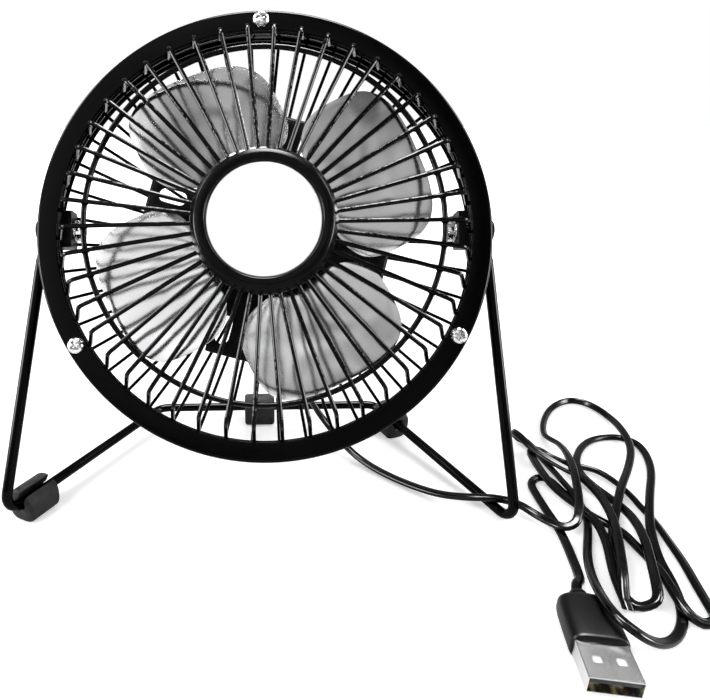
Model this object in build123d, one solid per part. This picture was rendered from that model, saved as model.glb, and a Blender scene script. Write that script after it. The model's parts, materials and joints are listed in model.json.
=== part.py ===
from build123d import *
import math
import os

os.makedirs("parts", exist_ok=True)

# A small metal desk fan on a bent-wire stand, in millimetres, +Z up. It blows towards -Y.
# The origin lies on the table under the middle of the fan. The head has a frame of its own:
# its Z runs forward along the fan's axis from the ring's front face, and its Y runs up the ring.

# Tilting head: where the tilt axis is, and how the head hangs on it
pivot_x = 1.5
pivot_y = -1.6
ring_floor_gap = 22.2
head_tilt = 23.6
pivot_rise = 3.0
pivot_depth = 10.5

# Front bezel and hoop
bezel_outer_r = 65.0
bezel_band = 6.0
bezel_sheet = 0.9
bezel_depth = 3.2
bezel_edge_r = 0.7
hoop_clearance = 0.1
hoop_wall = 0.8
hoop_depth = 15.0
hoop_front_gap = 1.2

# Bezel screws and the lugs they bite into
bezel_screw_angles = [91.0, 211.0, 332.0]
bezel_screw_head_r = 2.5
bezel_screw_head_height = 1.7
bezel_screw_shank_r = 1.3
bezel_screw_length = 6.4
recess_width = 0.7
recess_length = 2.8
recess_depth = 0.8
lug_width = 7.0
lug_height = 4.0
lug_reach = 3.2
screw_clearance = 0.1

# Front grille
spoke_count = 46
spoke_wire_r = 0.6
spoke_turn = 1.0
spoke_start_r = 13.0
spoke_start_height = 12.9
spoke_corner_inset = 5.3
spoke_corner_height = 12.1
spoke_bend_r = 2.5
weld_bite = 0.5
foot_ring_overlap = 0.6
foot_ring_wire_r = 0.8
foot_ring_height = -1.8
middle_ring_inset = 5.5
middle_ring_wire_r = 0.75
middle_ring_height = 11.0
hub_plate_r = 18.0
hub_plate_top = 12.5
hub_plate_thickness = 1.0

# Cap on the middle of the grille, and its badge
cap_r = 19.4
cap_bottom = 13.6
cap_height = 3.9
cap_crest_r = 17.0
badge_r = 15.0
badge_thickness = 0.8
badge_recess = 1.1
cap_peg_r = 1.5
cap_peg_circle_r = 9.0
cap_peg_count = 3
cap_peg_reach = 1.0
cap_peg_clearance = 0.05

# Rear grille
rear_wire_r = 0.5
rear_ring_clearance = 0.2
rear_ring_wire_r = 0.9
rear_ring_height = -13.8
rear_hub_ring_r = 22.5
rear_hub_ring_wire_r = 0.8
rear_skew = 3.0
rear_turn = 3.0

# Motor bracket
bracket_top = -5.0
bracket_sheet = 1.2
bracket_arm_width = 17.0
bracket_arm_end_r = 36.5
bracket_first_arm_angle = 75.0
bracket_arm_count = 4
bracket_corner_r = 2.0
bracket_slot_start_r = 25.0
bracket_slot_end_r = 33.4
bracket_slot_width = 4.2
bracket_slot_offset = 4.6
bracket_foot_gap = 0.1

# Motor
can_r = 12.0
can_wall = 0.8
can_length = 16.0
shaft_r = 1.0
running_clearance = 0.03
bush_r = 3.0
front_bush_reach = 3.0
bush_length = 5.0
rear_bush_length = 3.6
end_bell_thickness = 1.6
magnet_thickness = 1.8
magnet_span = 110.0
magnet_length = 9.0
air_gap = 0.5
armature_length = 8.0
commutator_r = 2.6
commutator_length = 2.6
brush_gap = 0.1
brush_length = 2.4
brush_width = 2.0
brush_post_height = 4.0
brush_post_thickness = 1.6
motor_screw_circle_r = 7.0
motor_screw_angle = 29.0
motor_screw_shank_r = 0.9
motor_screw_head_r = 1.8
motor_screw_head_height = 1.2
motor_screw_length = 2.2

# Rotor
shaft_front = 10.2
hub_r = 4.5
hub_back = -1.6
wheel_height = 5.0
wheel_sheet = 0.7
hub_flange_r = 7.5
hub_flange_thickness = 1.2
wheel_disc_r = 12.0
blade_count = 4
blade_first_angle = 27.5
blade_root_r = 17.0
blade_tip_inset = 11.6
blade_width = 44.0
blade_corner_r = 13.0
blade_neck_width = 15.0
blade_pitch = 14.0
retainer_r = 6.0
retainer_height = 3.6

# Motor housing behind the grille, with its cover, switch and gland
housing_r = 21.0
housing_wall = 1.4
housing_flange_r = 23.8
housing_flange = 1.4
housing_length = 24.0
housing_edge_r = 1.6
housing_boss_r = 2.6
housing_boss_bite = 0.6
housing_boss_length = 9.0
housing_screw_angle = 119.0
housing_screw_shank_r = 1.1
housing_screw_head_r = 2.1
housing_screw_head_height = 1.4
housing_screw_length = 18.7
cover_clearance = 0.1
cover_thickness = 1.6
cover_screw_margin = 0.5
cover_screw_length = 4.0
cover_boss_length = 5.0
switch_y = 3.0
switch_width = 15.0
switch_height = 10.4
switch_rim = 1.2
switch_rim_width = 1.0
switch_body_depth = 6.6
rocker_width = 11.0
rocker_height = 6.6
rocker_clearance = 0.5
rocker_corner = 1.0
rocker_well_depth = 5.5
rocker_throw = 8.0
rocker_pin_r = 0.8
rocker_pin_clearance = 0.05
rocker_axis_depth = 1.4
terminal_length = 3.2
gland_x = 6.0
gland_height = -31.5
gland_r = 3.6
gland_tip_r = 2.2
gland_collar = 1.6
gland_reach = 7.0
gland_neck_r = 2.4
cord_grip = 2.0

# Tilt hinge
bolt_r = 1.5
hinge_clearance = 0.05
bolt_head_r = 3.2
bolt_head_height = 2.0
bolt_past_nut = 0.1
eyelet_side_gap = 0.1
eyelet_thickness = 1.8
eyelet_r = 4.6
side_gap = 0.3
spacer_r = 3.8
block_height = 11.0
block_front = -6.5
block_thickness = 6.0
block_gap = 0.1
lock_washer_r = 3.2
lock_washer_thickness = 0.6
nut_across_flats = 5.5
nut_thickness = 2.4

# Stand: one bent wire, and where its four corners lie, from the tilt axis
wire_r = 1.6
front_left_splay = 13.6
front_left_reach = 29.4
front_left_height = 6.0
front_right_splay = 11.6
front_right_reach = 27.8
rear_left_spread = 43.5
rear_left_setback = 41.0
rear_right_spread = 44.5
rear_right_setback = 44.0
rear_height = 7.3
front_bend_r = 4.5
rear_bend_r = 6.0

# Rubber foot clips on the stand
clip_r = 5.2
clip_length = 12.0
clip_bore_clearance = 0.3
clip_slot_width = 2.6
clip_foot_edge_r = 3.6
clip_left_distance = 12.0
clip_right_distance = 11.0
clip_rear_share = 0.46

# Cord, its loose hank and the USB plug
cord_r = 1.3
cord_first_run = 6.5
hank_height = 8.0
hank_edge_r = 2.5
plug_front = (78.7, -89.2, 3.8)
plug_heading = 9.0
shell_width = 12.0
shell_height = 4.5
shell_wall = 0.3
shell_reach = 10.2
shell_hidden = 3.0
window_size = 2.0
window_offset = 2.6
window_setback = 5.2
tongue_width = 11.0
tongue_thickness = 1.9
tongue_setback = 0.6
contact_width = 1.0
contact_length = 6.5
contact_thickness = 0.2
contact_pitch = 2.3
grip_width = 13.2
grip_height = 7.6
grip_length = 11.4
grip_edge_r = 2.6
grip_neck_r = 3.2
grip_neck_tip_r = 2.0
grip_neck_length = 7.4

# Sizes that follow from the ones above
pivot_z = bezel_outer_r + ring_floor_gap
bezel_inner_r = bezel_outer_r - bezel_band
bezel_screw_circle_r = bezel_outer_r - bezel_band / 2
foot_ring_r = bezel_inner_r + foot_ring_overlap
spoke_corner_r = bezel_inner_r - spoke_corner_inset
middle_ring_r = spoke_corner_r - middle_ring_inset
blade_tip_r = bezel_inner_r - blade_tip_inset
blade_middle_r = (blade_root_r + blade_tip_r) / 2
blade_length = blade_tip_r - blade_root_r
blade_neck_start_r = (hub_flange_r + wheel_disc_r) / 2
hoop_outer_r = bezel_outer_r - bezel_sheet - hoop_clearance
hoop_inner_r = hoop_outer_r - hoop_wall
rear_ring_r = hoop_inner_r - rear_ring_wire_r - rear_ring_clearance
spoke_pitch = 360.0 / spoke_count
can_front = bracket_top - bracket_sheet
can_back = can_front - can_length
rear_wire_height = rear_ring_height - rear_ring_wire_r + rear_wire_r / 2
rear_wire_back = rear_wire_height - rear_wire_r
housing_front = rear_wire_height - rear_hub_ring_wire_r - 0.5
housing_back = housing_front - housing_length
housing_inner_r = housing_r - housing_wall
housing_boss_circle_r = housing_inner_r - housing_boss_r + housing_boss_bite
cover_r = housing_inner_r - cover_clearance
cover_screw_circle_r = cover_r - motor_screw_head_r - cover_screw_margin
cover_boss_r = housing_inner_r - cover_screw_circle_r + housing_boss_bite
magnet_outer_r = can_r - can_wall
armature_r = magnet_outer_r - magnet_thickness - air_gap
eyelet_x = bezel_outer_r + eyelet_side_gap + eyelet_thickness / 2
front_left_spread = eyelet_x + front_left_splay
front_right_spread = eyelet_x + front_right_splay
spacer_inner_x = hoop_outer_r
spacer_outer_x = eyelet_x - eyelet_thickness / 2 - side_gap
bolt_head_x = eyelet_x + eyelet_thickness / 2 + side_gap
block_outer_x = hoop_inner_r - block_gap
block_back = rear_ring_height + rear_ring_wire_r + block_gap
block_inner_x = block_outer_x - block_thickness
lock_washer_x = block_inner_x - lock_washer_thickness
nut_x = lock_washer_x - nut_thickness
bolt_tip_x = nut_x - bolt_past_nut

head = Location((pivot_x, pivot_y, pivot_z), (90.0 - head_tilt, 0, 0)) * Location(
    (0, -pivot_rise, pivot_depth)
)


def ring_of(profile):
    """Turn a list of (radius, height) corners about the fan's axis."""
    return revolve(Plane.XZ * make_face(Polyline(*profile, close=True)), Axis.Z)


def tube(outer_r, inner_r, bottom, top):
    """A round tube between two heights; an inner radius of 0 gives a rod."""
    body = Pos(0, 0, bottom) * Cylinder(outer_r, top - bottom, align=(Align.CENTER, Align.CENTER, Align.MIN))
    if inner_r > 0:
        body -= Pos(0, 0, bottom - 1) * Cylinder(
            inner_r, top - bottom + 2, align=(Align.CENTER, Align.CENTER, Align.MIN)
        )
    return body


def around(shape, angle, radius=0.0):
    """Place a shape at an angle about the fan's axis, moved out by a radius."""
    return Rot(0, 0, angle) * Pos(radius, 0, 0) * shape


def wire_along(path, radius):
    """A round wire swept along a path of straight runs and tangent arcs."""
    section = Plane(origin=path @ 0, z_dir=path % 0) * Circle(radius)
    return sweep(section, path=path)


def sideways(shape, side):
    """Lay a shape built along +Z on the tilt axis, pointing out at the given side."""
    return Pos(0, pivot_rise, -pivot_depth) * Rot(0, 90 * side, 0) * shape


# --- Head: bezel, hoop and their screws -------------------------------------------------

def front_bezel():
    face = ring_of([
        (bezel_inner_r, 0),
        (bezel_outer_r, 0),
        (bezel_outer_r, -bezel_depth),
        (bezel_outer_r - bezel_sheet, -bezel_depth),
        (bezel_outer_r - bezel_sheet, -bezel_sheet),
        (bezel_inner_r, -bezel_sheet),
    ])
    rim = face.edges().filter_by(GeomType.CIRCLE).filter_by(
        lambda edge: abs(edge.radius - bezel_outer_r) < 0.01 and abs(edge.center().Z) < 0.01
    )
    face = fillet(rim, bezel_edge_r)
    for angle in bezel_screw_angles:
        hole = tube(bezel_screw_shank_r + screw_clearance, 0, -2 * bezel_sheet, bezel_sheet)
        face -= around(hole, angle, bezel_screw_circle_r)
    return face


def bezel_hoop():
    hoop = tube(hoop_outer_r, hoop_inner_r, -hoop_depth, -hoop_front_gap)
    lug_top = foot_ring_height - foot_ring_wire_r - 0.05
    for angle in bezel_screw_angles:
        lug = Pos(hoop_inner_r + hoop_wall / 2, 0, lug_top) * Box(
            lug_reach + hoop_wall / 2, lug_width, lug_height, align=(Align.MAX, Align.CENTER, Align.MAX)
        )
        hoop += Rot(0, 0, angle) * lug
    hoop &= tube(hoop_outer_r, 0, -hoop_depth, 0)
    for angle in bezel_screw_angles:
        bore = tube(bezel_screw_shank_r, 0, -bezel_screw_length, 0)
        hoop -= around(bore, angle, bezel_screw_circle_r)
    for side in (-1, 1):
        hoop -= sideways(tube(bolt_r + hinge_clearance, 0, hoop_inner_r - 3, hoop_outer_r + 1), side)
    return hoop


def bezel_screws():
    head_solid = tube(bezel_screw_head_r, 0, 0, bezel_screw_head_height)
    crown = head_solid.edges().filter_by(GeomType.CIRCLE).sort_by(Axis.Z)[-1]
    head_solid = fillet(crown, bezel_screw_head_height * 0.8)
    screw = head_solid + tube(bezel_screw_shank_r, 0, -bezel_screw_length, 0.2)
    for turn in (0, 90):
        screw -= Pos(0, 0, bezel_screw_head_height) * Rot(0, 0, turn) * Box(
            recess_length, recess_width, 2 * recess_depth
        )
    return Compound([around(screw, angle, bezel_screw_circle_r) for angle in bezel_screw_angles])


# --- Head: front grille and cap ---------------------------------------------------------

def front_grille():
    path = FilletPolyline(
        (spoke_start_r, 0, spoke_start_height),
        (spoke_corner_r, 0, spoke_corner_height),
        (foot_ring_r - foot_ring_wire_r - spoke_wire_r + weld_bite, 0, foot_ring_height),
        radius=spoke_bend_r,
    )
    spoke = wire_along(path, spoke_wire_r)
    plate = tube(hub_plate_r, 0, hub_plate_top - hub_plate_thickness, hub_plate_top)
    for peg in range(cap_peg_count):
        hole = tube(cap_peg_r + cap_peg_clearance, 0, 0, hub_plate_top + 1)
        plate -= around(hole, peg * 360 / cap_peg_count, cap_peg_circle_r)
    rings = [
        Pos(0, 0, foot_ring_height) * Torus(foot_ring_r, foot_ring_wire_r),
        Pos(0, 0, middle_ring_height) * Torus(middle_ring_r, middle_ring_wire_r),
    ]
    first = 90 + spoke_turn + spoke_pitch / 2
    spokes = [around(spoke, first + number * spoke_pitch) for number in range(spoke_count)]
    return plate.fuse(*rings, *spokes)


def grille_cap():
    crest = cap_bottom + cap_height
    floor = crest - badge_recess - badge_thickness
    shell = ring_of([
        (0, cap_bottom),
        (cap_r - 0.6, cap_bottom),
        (cap_r, cap_bottom + 0.6),
        (cap_r, cap_bottom + 1.6),
        (cap_crest_r + 1.2, crest - 0.5),
        (cap_crest_r, crest),
        (badge_r + 0.5, crest - 0.2),
        (badge_r, floor + badge_thickness),
        (badge_r, floor),
        (0, floor),
    ])
    for peg in range(cap_peg_count):
        plug = tube(cap_peg_r, 0, hub_plate_top - hub_plate_thickness - cap_peg_reach, cap_bottom + 0.5)
        shell += around(plug, peg * 360 / cap_peg_count, cap_peg_circle_r)
    return shell


def cap_badge():
    top = cap_bottom + cap_height - badge_recess
    return tube(badge_r, 0, top - badge_thickness, top)


# --- Head: rear grille, bracket and housing ---------------------------------------------

def rear_grille():
    outer = Vector(rear_ring_r, 0, rear_wire_height)
    turn = math.radians(rear_skew)
    inner = Vector(rear_hub_ring_r * math.cos(turn), rear_hub_ring_r * math.sin(turn), rear_wire_height)
    wire = wire_along(Line(outer, inner), rear_wire_r)
    rings = [
        Pos(0, 0, rear_ring_height) * Torus(rear_ring_r, rear_ring_wire_r),
        Pos(0, 0, rear_wire_height) * Torus(rear_hub_ring_r, rear_hub_ring_wire_r),
    ]
    first = 90 + spoke_turn + rear_turn
    wires = [around(wire, first + number * spoke_pitch) for number in range(spoke_count)]
    return rings[0].fuse(rings[1], *wires)


def motor_bracket():
    plate = tube(housing_r, 0, bracket_top - bracket_sheet, bracket_top)
    foot_end = rear_wire_height + rear_wire_r + bracket_foot_gap
    for number in range(bracket_arm_count):
        arm = Pos(bracket_arm_end_r / 2, 0, bracket_top - bracket_sheet / 2) * Box(
            bracket_arm_end_r, bracket_arm_width, bracket_sheet
        )
        foot = Pos(bracket_arm_end_r, 0, foot_end) * Box(
            bracket_sheet, bracket_arm_width, bracket_top - foot_end, align=(Align.MAX, Align.CENTER, Align.MIN)
        )
        arm += foot
        slot_length = bracket_slot_end_r - bracket_slot_start_r
        for side in (-1, 1):
            slot = extrude(SlotOverall(slot_length, bracket_slot_width), amount=4 * bracket_sheet, both=True)
            middle = (bracket_slot_start_r + bracket_slot_end_r) / 2
            arm -= Pos(middle, side * bracket_slot_offset, bracket_top) * slot
        plate += around(arm, bracket_first_arm_angle + number * 360 / bracket_arm_count)
    plate -= tube(bush_r, 0, bracket_top - 2 * bracket_sheet, bracket_top + 1)
    for turn in (0, 180):
        motor_hole = tube(motor_screw_shank_r + screw_clearance, 0, can_front - 1, bracket_top + 1)
        plate -= around(motor_hole, motor_screw_angle + turn, motor_screw_circle_r)
        housing_hole = tube(housing_screw_shank_r + screw_clearance, 0, can_front - 1, bracket_top + 1)
        plate -= around(housing_hole, housing_screw_angle + turn, housing_boss_circle_r)
    return plate


def pan_screw(shank_r, head_r, head_height, length, seat):
    """A pan-headed screw whose head sits on the given height, with a crossed recess."""
    screw = tube(head_r, 0, seat, seat + head_height) + tube(shank_r, 0, seat - length, seat + 0.1)
    for turn in (0, 90):
        screw -= Pos(0, 0, seat + head_height) * Rot(0, 0, turn) * Box(head_r, head_r * 0.25, head_height)
    return screw


def motor_screws():
    screw = pan_screw(
        motor_screw_shank_r, motor_screw_head_r, motor_screw_head_height, motor_screw_length, bracket_top
    )
    return Compound([around(screw, motor_screw_angle + turn, motor_screw_circle_r) for turn in (0, 180)])


def housing_screws():
    screw = pan_screw(
        housing_screw_shank_r, housing_screw_head_r, housing_screw_head_height, housing_screw_length, bracket_top
    )
    return Compound([around(screw, housing_screw_angle + turn, housing_boss_circle_r) for turn in (0, 180)])


def gland_place():
    """Gland frame on the low side of the housing: its Z points out, away from the fan's axis."""
    return Pos(gland_x, 0, gland_height) * Rot(90, 0, 0)


def motor_housing():
    shell = ring_of([
        (housing_inner_r, housing_front),
        (housing_flange_r, housing_front),
        (housing_flange_r, housing_front - housing_flange),
        (housing_r, housing_front - housing_flange),
        (housing_r, housing_back),
        (housing_inner_r, housing_back),
    ])
    for turn in (0, 180):
        boss = tube(housing_boss_r, 0, housing_front - housing_boss_length, housing_front)
        shell += around(boss, housing_screw_angle + turn, housing_boss_circle_r)
        cover_seat = housing_back + cover_thickness
        cover_boss = tube(cover_boss_r, 0, cover_seat, cover_seat + cover_boss_length)
        shell += around(cover_boss, turn, cover_screw_circle_r)
    shell &= tube(housing_flange_r, 0, housing_back, housing_front)
    for turn in (0, 180):
        bore = tube(housing_screw_shank_r, 0, bracket_top - housing_screw_length, housing_front + 1)
        shell -= around(bore, housing_screw_angle + turn, housing_boss_circle_r)
        cover_bore = tube(motor_screw_shank_r, 0, housing_back, housing_back + cover_screw_length)
        shell -= around(cover_bore, turn, cover_screw_circle_r)
    shell -= gland_place() * tube(gland_neck_r, 0, housing_r / 2, housing_r + 2)
    return shell


def rear_cover():
    disc = tube(cover_r, 0, housing_back, housing_back + cover_thickness)
    disc -= Pos(0, switch_y, housing_back) * Box(
        switch_width - 2 * switch_rim_width, switch_height - 2 * switch_rim_width, 4 * cover_thickness
    )
    for turn in (0, 180):
        hole = tube(motor_screw_shank_r + screw_clearance, 0, housing_back - 1, housing_back + 2 * cover_thickness)
        disc -= around(hole, turn, cover_screw_circle_r)
    return disc


def cover_screws():
    screw = pan_screw(motor_screw_shank_r, motor_screw_head_r, motor_screw_head_height, cover_screw_length, 0)
    turned = Pos(0, 0, housing_back) * Rot(180, 0, 0) * screw
    return Compound([around(turned, turn, cover_screw_circle_r) for turn in (0, 180)])


# --- Head: motor -------------------------------------------------------------------------

def motor_can():
    can = tube(can_r, 0, can_back, can_front)
    can -= tube(magnet_outer_r, 0, can_back - 1, can_front - can_wall)
    can -= tube(bush_r, 0, can_front - 2, can_front + 1)
    for turn in (0, 180):
        bore = tube(motor_screw_shank_r, 0, can_front - 2, can_front + 1)
        can -= around(bore, motor_screw_angle + turn, motor_screw_circle_r)
    return can


def motor_end_bell():
    bell = tube(magnet_outer_r, bush_r, can_back, can_back + end_bell_thickness)
    for side in (-1, 1):
        post_x = side * (commutator_r + brush_gap + brush_length + brush_post_thickness / 2)
        post = Pos(post_x, 0, can_back) * Box(
            brush_post_thickness, brush_width, end_bell_thickness + brush_post_height,
            align=(Align.CENTER, Align.CENTER, Align.MIN),
        )
        bell += post
    return bell


def commutator_middle():
    return can_back + end_bell_thickness + 2.6


def motor_brushes():
    brushes = []
    for side in (-1, 1):
        x = side * (commutator_r + brush_gap + brush_length / 2)
        brushes.append(Pos(x, 0, commutator_middle()) * Box(brush_length, brush_width, 1.6))
    return Compound(brushes)


def motor_magnets():
    top = can_front - can_wall - 0.6
    ring = tube(magnet_outer_r, magnet_outer_r - magnet_thickness, top - magnet_length, top)
    magnets = []
    for turn in (0, 180):
        half = math.radians(magnet_span / 2)
        reach = 2 * can_r
        wedge = make_face(Polyline(
            (0, 0),
            (reach * math.cos(half), -reach * math.sin(half)),
            (reach, 0),
            (reach * math.cos(half), reach * math.sin(half)),
            close=True,
        ))
        cutter = Pos(0, 0, top - magnet_length - 1) * extrude(wedge, amount=magnet_length + 2)
        magnets.append(Rot(0, 0, turn) * (ring & cutter))
    return Compound(magnets)


def front_bush():
    return tube(bush_r, shaft_r + running_clearance, can_front + front_bush_reach - bush_length, can_front + front_bush_reach)


def rear_bush():
    return tube(bush_r, shaft_r + running_clearance, can_back - 1.0, can_back - 1.0 + rear_bush_length)


# --- Rotor -------------------------------------------------------------------------------

def rotor_shaft():
    return tube(shaft_r, 0, can_back - 1.6, shaft_front)


def armature():
    top = can_front - can_wall - 1.2
    core = tube(armature_r, shaft_r, top - armature_length, top)
    for number in range(3):
        slot = Pos(armature_r, 0, top - armature_length / 2) * Box(armature_r, 1.6, armature_length + 1)
        core -= Rot(0, 0, 60 + number * 120) * slot
    return core


def commutator():
    middle = commutator_middle()
    return tube(commutator_r, shaft_r, middle - commutator_length / 2, middle + commutator_length / 2)


def blade_hub():
    hub = tube(hub_r, shaft_r, hub_back, wheel_height - wheel_sheet / 2)
    seat = wheel_height - wheel_sheet / 2
    hub += tube(hub_flange_r, shaft_r, seat - hub_flange_thickness, seat)
    return hub


def blade_wheel():
    wheel = tube(wheel_disc_r, 0, wheel_height - wheel_sheet / 2, wheel_height + wheel_sheet / 2)
    outline = Pos(blade_middle_r, 0) * RectangleRounded(blade_length, blade_width, blade_corner_r)
    outline += Pos(blade_neck_start_r, 0) * Rectangle(
        blade_middle_r - blade_neck_start_r, blade_neck_width, align=(Align.MIN, Align.CENTER)
    )
    petal = extrude(outline, amount=wheel_sheet / 2, both=True)
    for number in range(blade_count):
        blade = Rot(blade_pitch, 0, 0) * petal
        angle = blade_first_angle + number * 360 / blade_count
        wheel += Pos(0, 0, wheel_height) * Rot(0, 0, angle) * blade
    bore = tube(shaft_r, 0, wheel_height - 2 * wheel_sheet, wheel_height + 2 * wheel_sheet)
    return wheel - bore


def blade_retainer():
    bottom = wheel_height + wheel_sheet / 2
    return tube(retainer_r, shaft_r, bottom, bottom + retainer_height)


# --- Head: switch and cord gland --------------------------------------------------------

def switch_place():
    """Switch frame on the rear cover: its Z points back, out of the cover, and X runs along the rocker."""
    return Pos(0, switch_y, housing_back) * Rot(0, 180, 0)


def switch_body():
    rim = Pos(0, 0, switch_rim / 2) * Box(switch_width, switch_height, switch_rim)
    stem = Pos(0, 0, -switch_body_depth / 2) * Box(
        switch_width - 2 * switch_rim_width - 0.1, switch_height - 2 * switch_rim_width - 0.1, switch_body_depth
    )
    body = rim + stem
    well_x = rocker_width + 2 * rocker_clearance
    well_y = rocker_height + 2 * rocker_clearance
    body -= Pos(0, 0, -rocker_well_depth) * Box(
        well_x, well_y, rocker_well_depth + 2 * switch_rim, align=(Align.CENTER, Align.CENTER, Align.MIN)
    )
    pin = Rot(90, 0, 0) * Cylinder(rocker_pin_r, well_y + 0.4)
    body += Pos(0, 0, -rocker_axis_depth) * pin
    return switch_place() * body


def switch_terminals():
    blades = []
    for side in (-1, 1):
        blade = Box(0.8, 4.0, terminal_length)
        blades.append(Pos(side * 3.5, 0, -switch_body_depth - terminal_length / 2) * blade)
    return switch_place() * Compound(blades)


def rocker():
    half = rocker_width / 2
    slope = math.radians(rocker_throw)
    rise = half * math.tan(slope)
    top = switch_rim + 0.6
    low = -rocker_axis_depth - rocker_pin_r - 1.2
    outline = Polyline(
        (-half + 0.6, low),
        (half - 0.6, low),
        (half, -rocker_axis_depth),
        (half - rocker_corner, top),
        (0, top - rise * 0.4),
        (-half + rocker_corner, top + rise),
        (-half, -rocker_axis_depth),
        close=True,
    )
    key = extrude(Plane.XZ * make_face(outline), amount=rocker_height / 2, both=True)
    bore = Rot(90, 0, 0) * Cylinder(rocker_pin_r + rocker_pin_clearance, rocker_height + 2)
    key -= Pos(0, 0, -rocker_axis_depth) * bore
    return switch_place() * key


def cord_gland():
    tip = housing_r + gland_reach
    body = tube(gland_r, 0, housing_r / 2, housing_r + gland_collar)
    body += Pos(0, 0, housing_r + gland_collar) * Cone(
        gland_r - 0.5, gland_tip_r, gland_reach - gland_collar, align=(Align.CENTER, Align.CENTER, Align.MIN)
    )
    body -= tube(cord_r, 0, tip - cord_grip, tip + 1.0)
    body = gland_place() * body - tube(housing_r, 0, housing_back - 1, housing_front + 1)
    neck = tube(gland_neck_r, 0, housing_r - housing_wall - 3.0, housing_r)
    return body + gland_place() * neck


# --- Tilt hinge hardware -----------------------------------------------------------------

def hinge_bolts():
    bolts = []
    for side in (-1, 1):
        cap = tube(bolt_head_r, 0, bolt_head_x, bolt_head_x + bolt_head_height)
        cap = fillet(cap.edges().filter_by(GeomType.CIRCLE).sort_by(Axis.Z)[-1], bolt_head_height * 0.6)
        bolt = cap + tube(bolt_r, 0, bolt_tip_x, bolt_head_x + 0.2)
        bolts.append(sideways(bolt, side))
    return Compound(bolts)


def hinge_spacers():
    ring = tube(spacer_r, bolt_r + hinge_clearance, spacer_inner_x - 1, spacer_outer_x)
    hoop = tube(hoop_outer_r, 0, -2 * hoop_depth, hoop_depth)
    return Compound([sideways(ring, side) - hoop for side in (-1, 1)])


def hinge_blocks():
    blocks = []
    for side in (-1, 1):
        block = Pos(side * block_inner_x, pivot_rise, block_back) * Box(
            block_thickness, block_height, block_front - block_back,
            align=(Align.MIN if side > 0 else Align.MAX, Align.CENTER, Align.MIN),
        )
        block = fillet(block.edges().filter_by(Axis.X), 1.0)
        block -= sideways(tube(bolt_r + hinge_clearance, 0, block_inner_x - 1, block_outer_x + 1), side)
        blocks.append(block & tube(hoop_inner_r - block_gap, 0, -2 * hoop_depth, 0))
    return Compound(blocks)


def hinge_lock_washers():
    ring = tube(lock_washer_r, bolt_r + hinge_clearance, lock_washer_x, block_inner_x)
    return Compound([sideways(ring, side) for side in (-1, 1)])


def hinge_nuts():
    prism = Pos(0, 0, nut_x) * extrude(RegularPolygon(nut_across_flats / 2, 6, major_radius=False), amount=nut_thickness)
    prism -= tube(bolt_r, 0, nut_x - 1, lock_washer_x + 1)
    return Compound([sideways(prism, side) for side in (-1, 1)])


# --- Stand -------------------------------------------------------------------------------

front_left = Vector(pivot_x - front_left_spread, pivot_y - front_left_reach, front_left_height)
front_right = Vector(pivot_x + front_right_spread, pivot_y - front_right_reach, wire_r)
rear_left = Vector(pivot_x - rear_left_spread, pivot_y + rear_left_setback, rear_height)
rear_right = Vector(pivot_x + rear_right_spread, pivot_y + rear_right_setback, rear_height)


def stand_wire():
    tops = []
    for side, foot in ((-1, front_left), (1, front_right)):
        centre = Vector(pivot_x + side * eyelet_x, pivot_y, pivot_z)
        tops.append(centre + (foot - centre).normalized() * (eyelet_r - 0.2))
    path = FilletPolyline(
        tops[0], front_left, rear_left, rear_right, front_right, tops[1],
        radius=[front_bend_r, rear_bend_r, rear_bend_r, front_bend_r],
    )
    frame = wire_along(path, wire_r)
    for side in (-1, 1):
        eye = tube(eyelet_r, 0, eyelet_x - eyelet_thickness / 2, eyelet_x + eyelet_thickness / 2)
        bore = tube(bolt_r + hinge_clearance, 0, eyelet_x - 3, eyelet_x + 3)
        place = Pos(pivot_x, pivot_y, pivot_z) * Rot(0, 90 * side, 0)
        frame += place * eye
        frame -= place * bore
    return frame


def foot_clip(start, end, distance, slot_angle):
    """A split rubber foot on the bar from start to end, with its slot turned up from outward."""
    along = (end - start).normalized()
    middle = start + along * distance
    outward = Vector(along.Y, -along.X, 0).normalized()
    frame = Plane(origin=middle - along * (clip_length / 2), x_dir=outward, z_dir=along)
    if frame.y_dir.Z < 0:
        frame = Plane(origin=middle + along * (clip_length / 2), x_dir=outward, z_dir=-along)
    drop = middle.Z + 2 * wire_r
    section = Rectangle(2 * clip_r, drop, align=(Align.CENTER, Align.MAX)) + Circle(clip_r)
    body = extrude(frame * section, amount=clip_length)
    body &= Pos(middle.X, middle.Y, 0) * Box(
        6 * clip_length, 6 * clip_length, 6 * clip_r, align=(Align.CENTER, Align.CENTER, Align.MIN)
    )
    sole = body.edges().filter_by(GeomType.LINE).filter_by(lambda edge: edge.center().Z < 0.01)
    along_sole = [edge for edge in sole if edge.length > clip_length * 0.9]
    sole_edges = [edge for edge in along_sole if abs((edge % 0).dot(outward)) < 0.5]
    body = fillet(sole_edges, clip_foot_edge_r)
    body -= extrude(frame * Circle(wire_r + clip_bore_clearance), amount=clip_length)
    slot = Rot(0, 0, slot_angle) * Rectangle(2 * clip_r, clip_slot_width, align=(Align.MIN, Align.CENTER))
    return body - extrude(frame * slot, amount=clip_length)


# --- Cord and plug -----------------------------------------------------------------------

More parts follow.
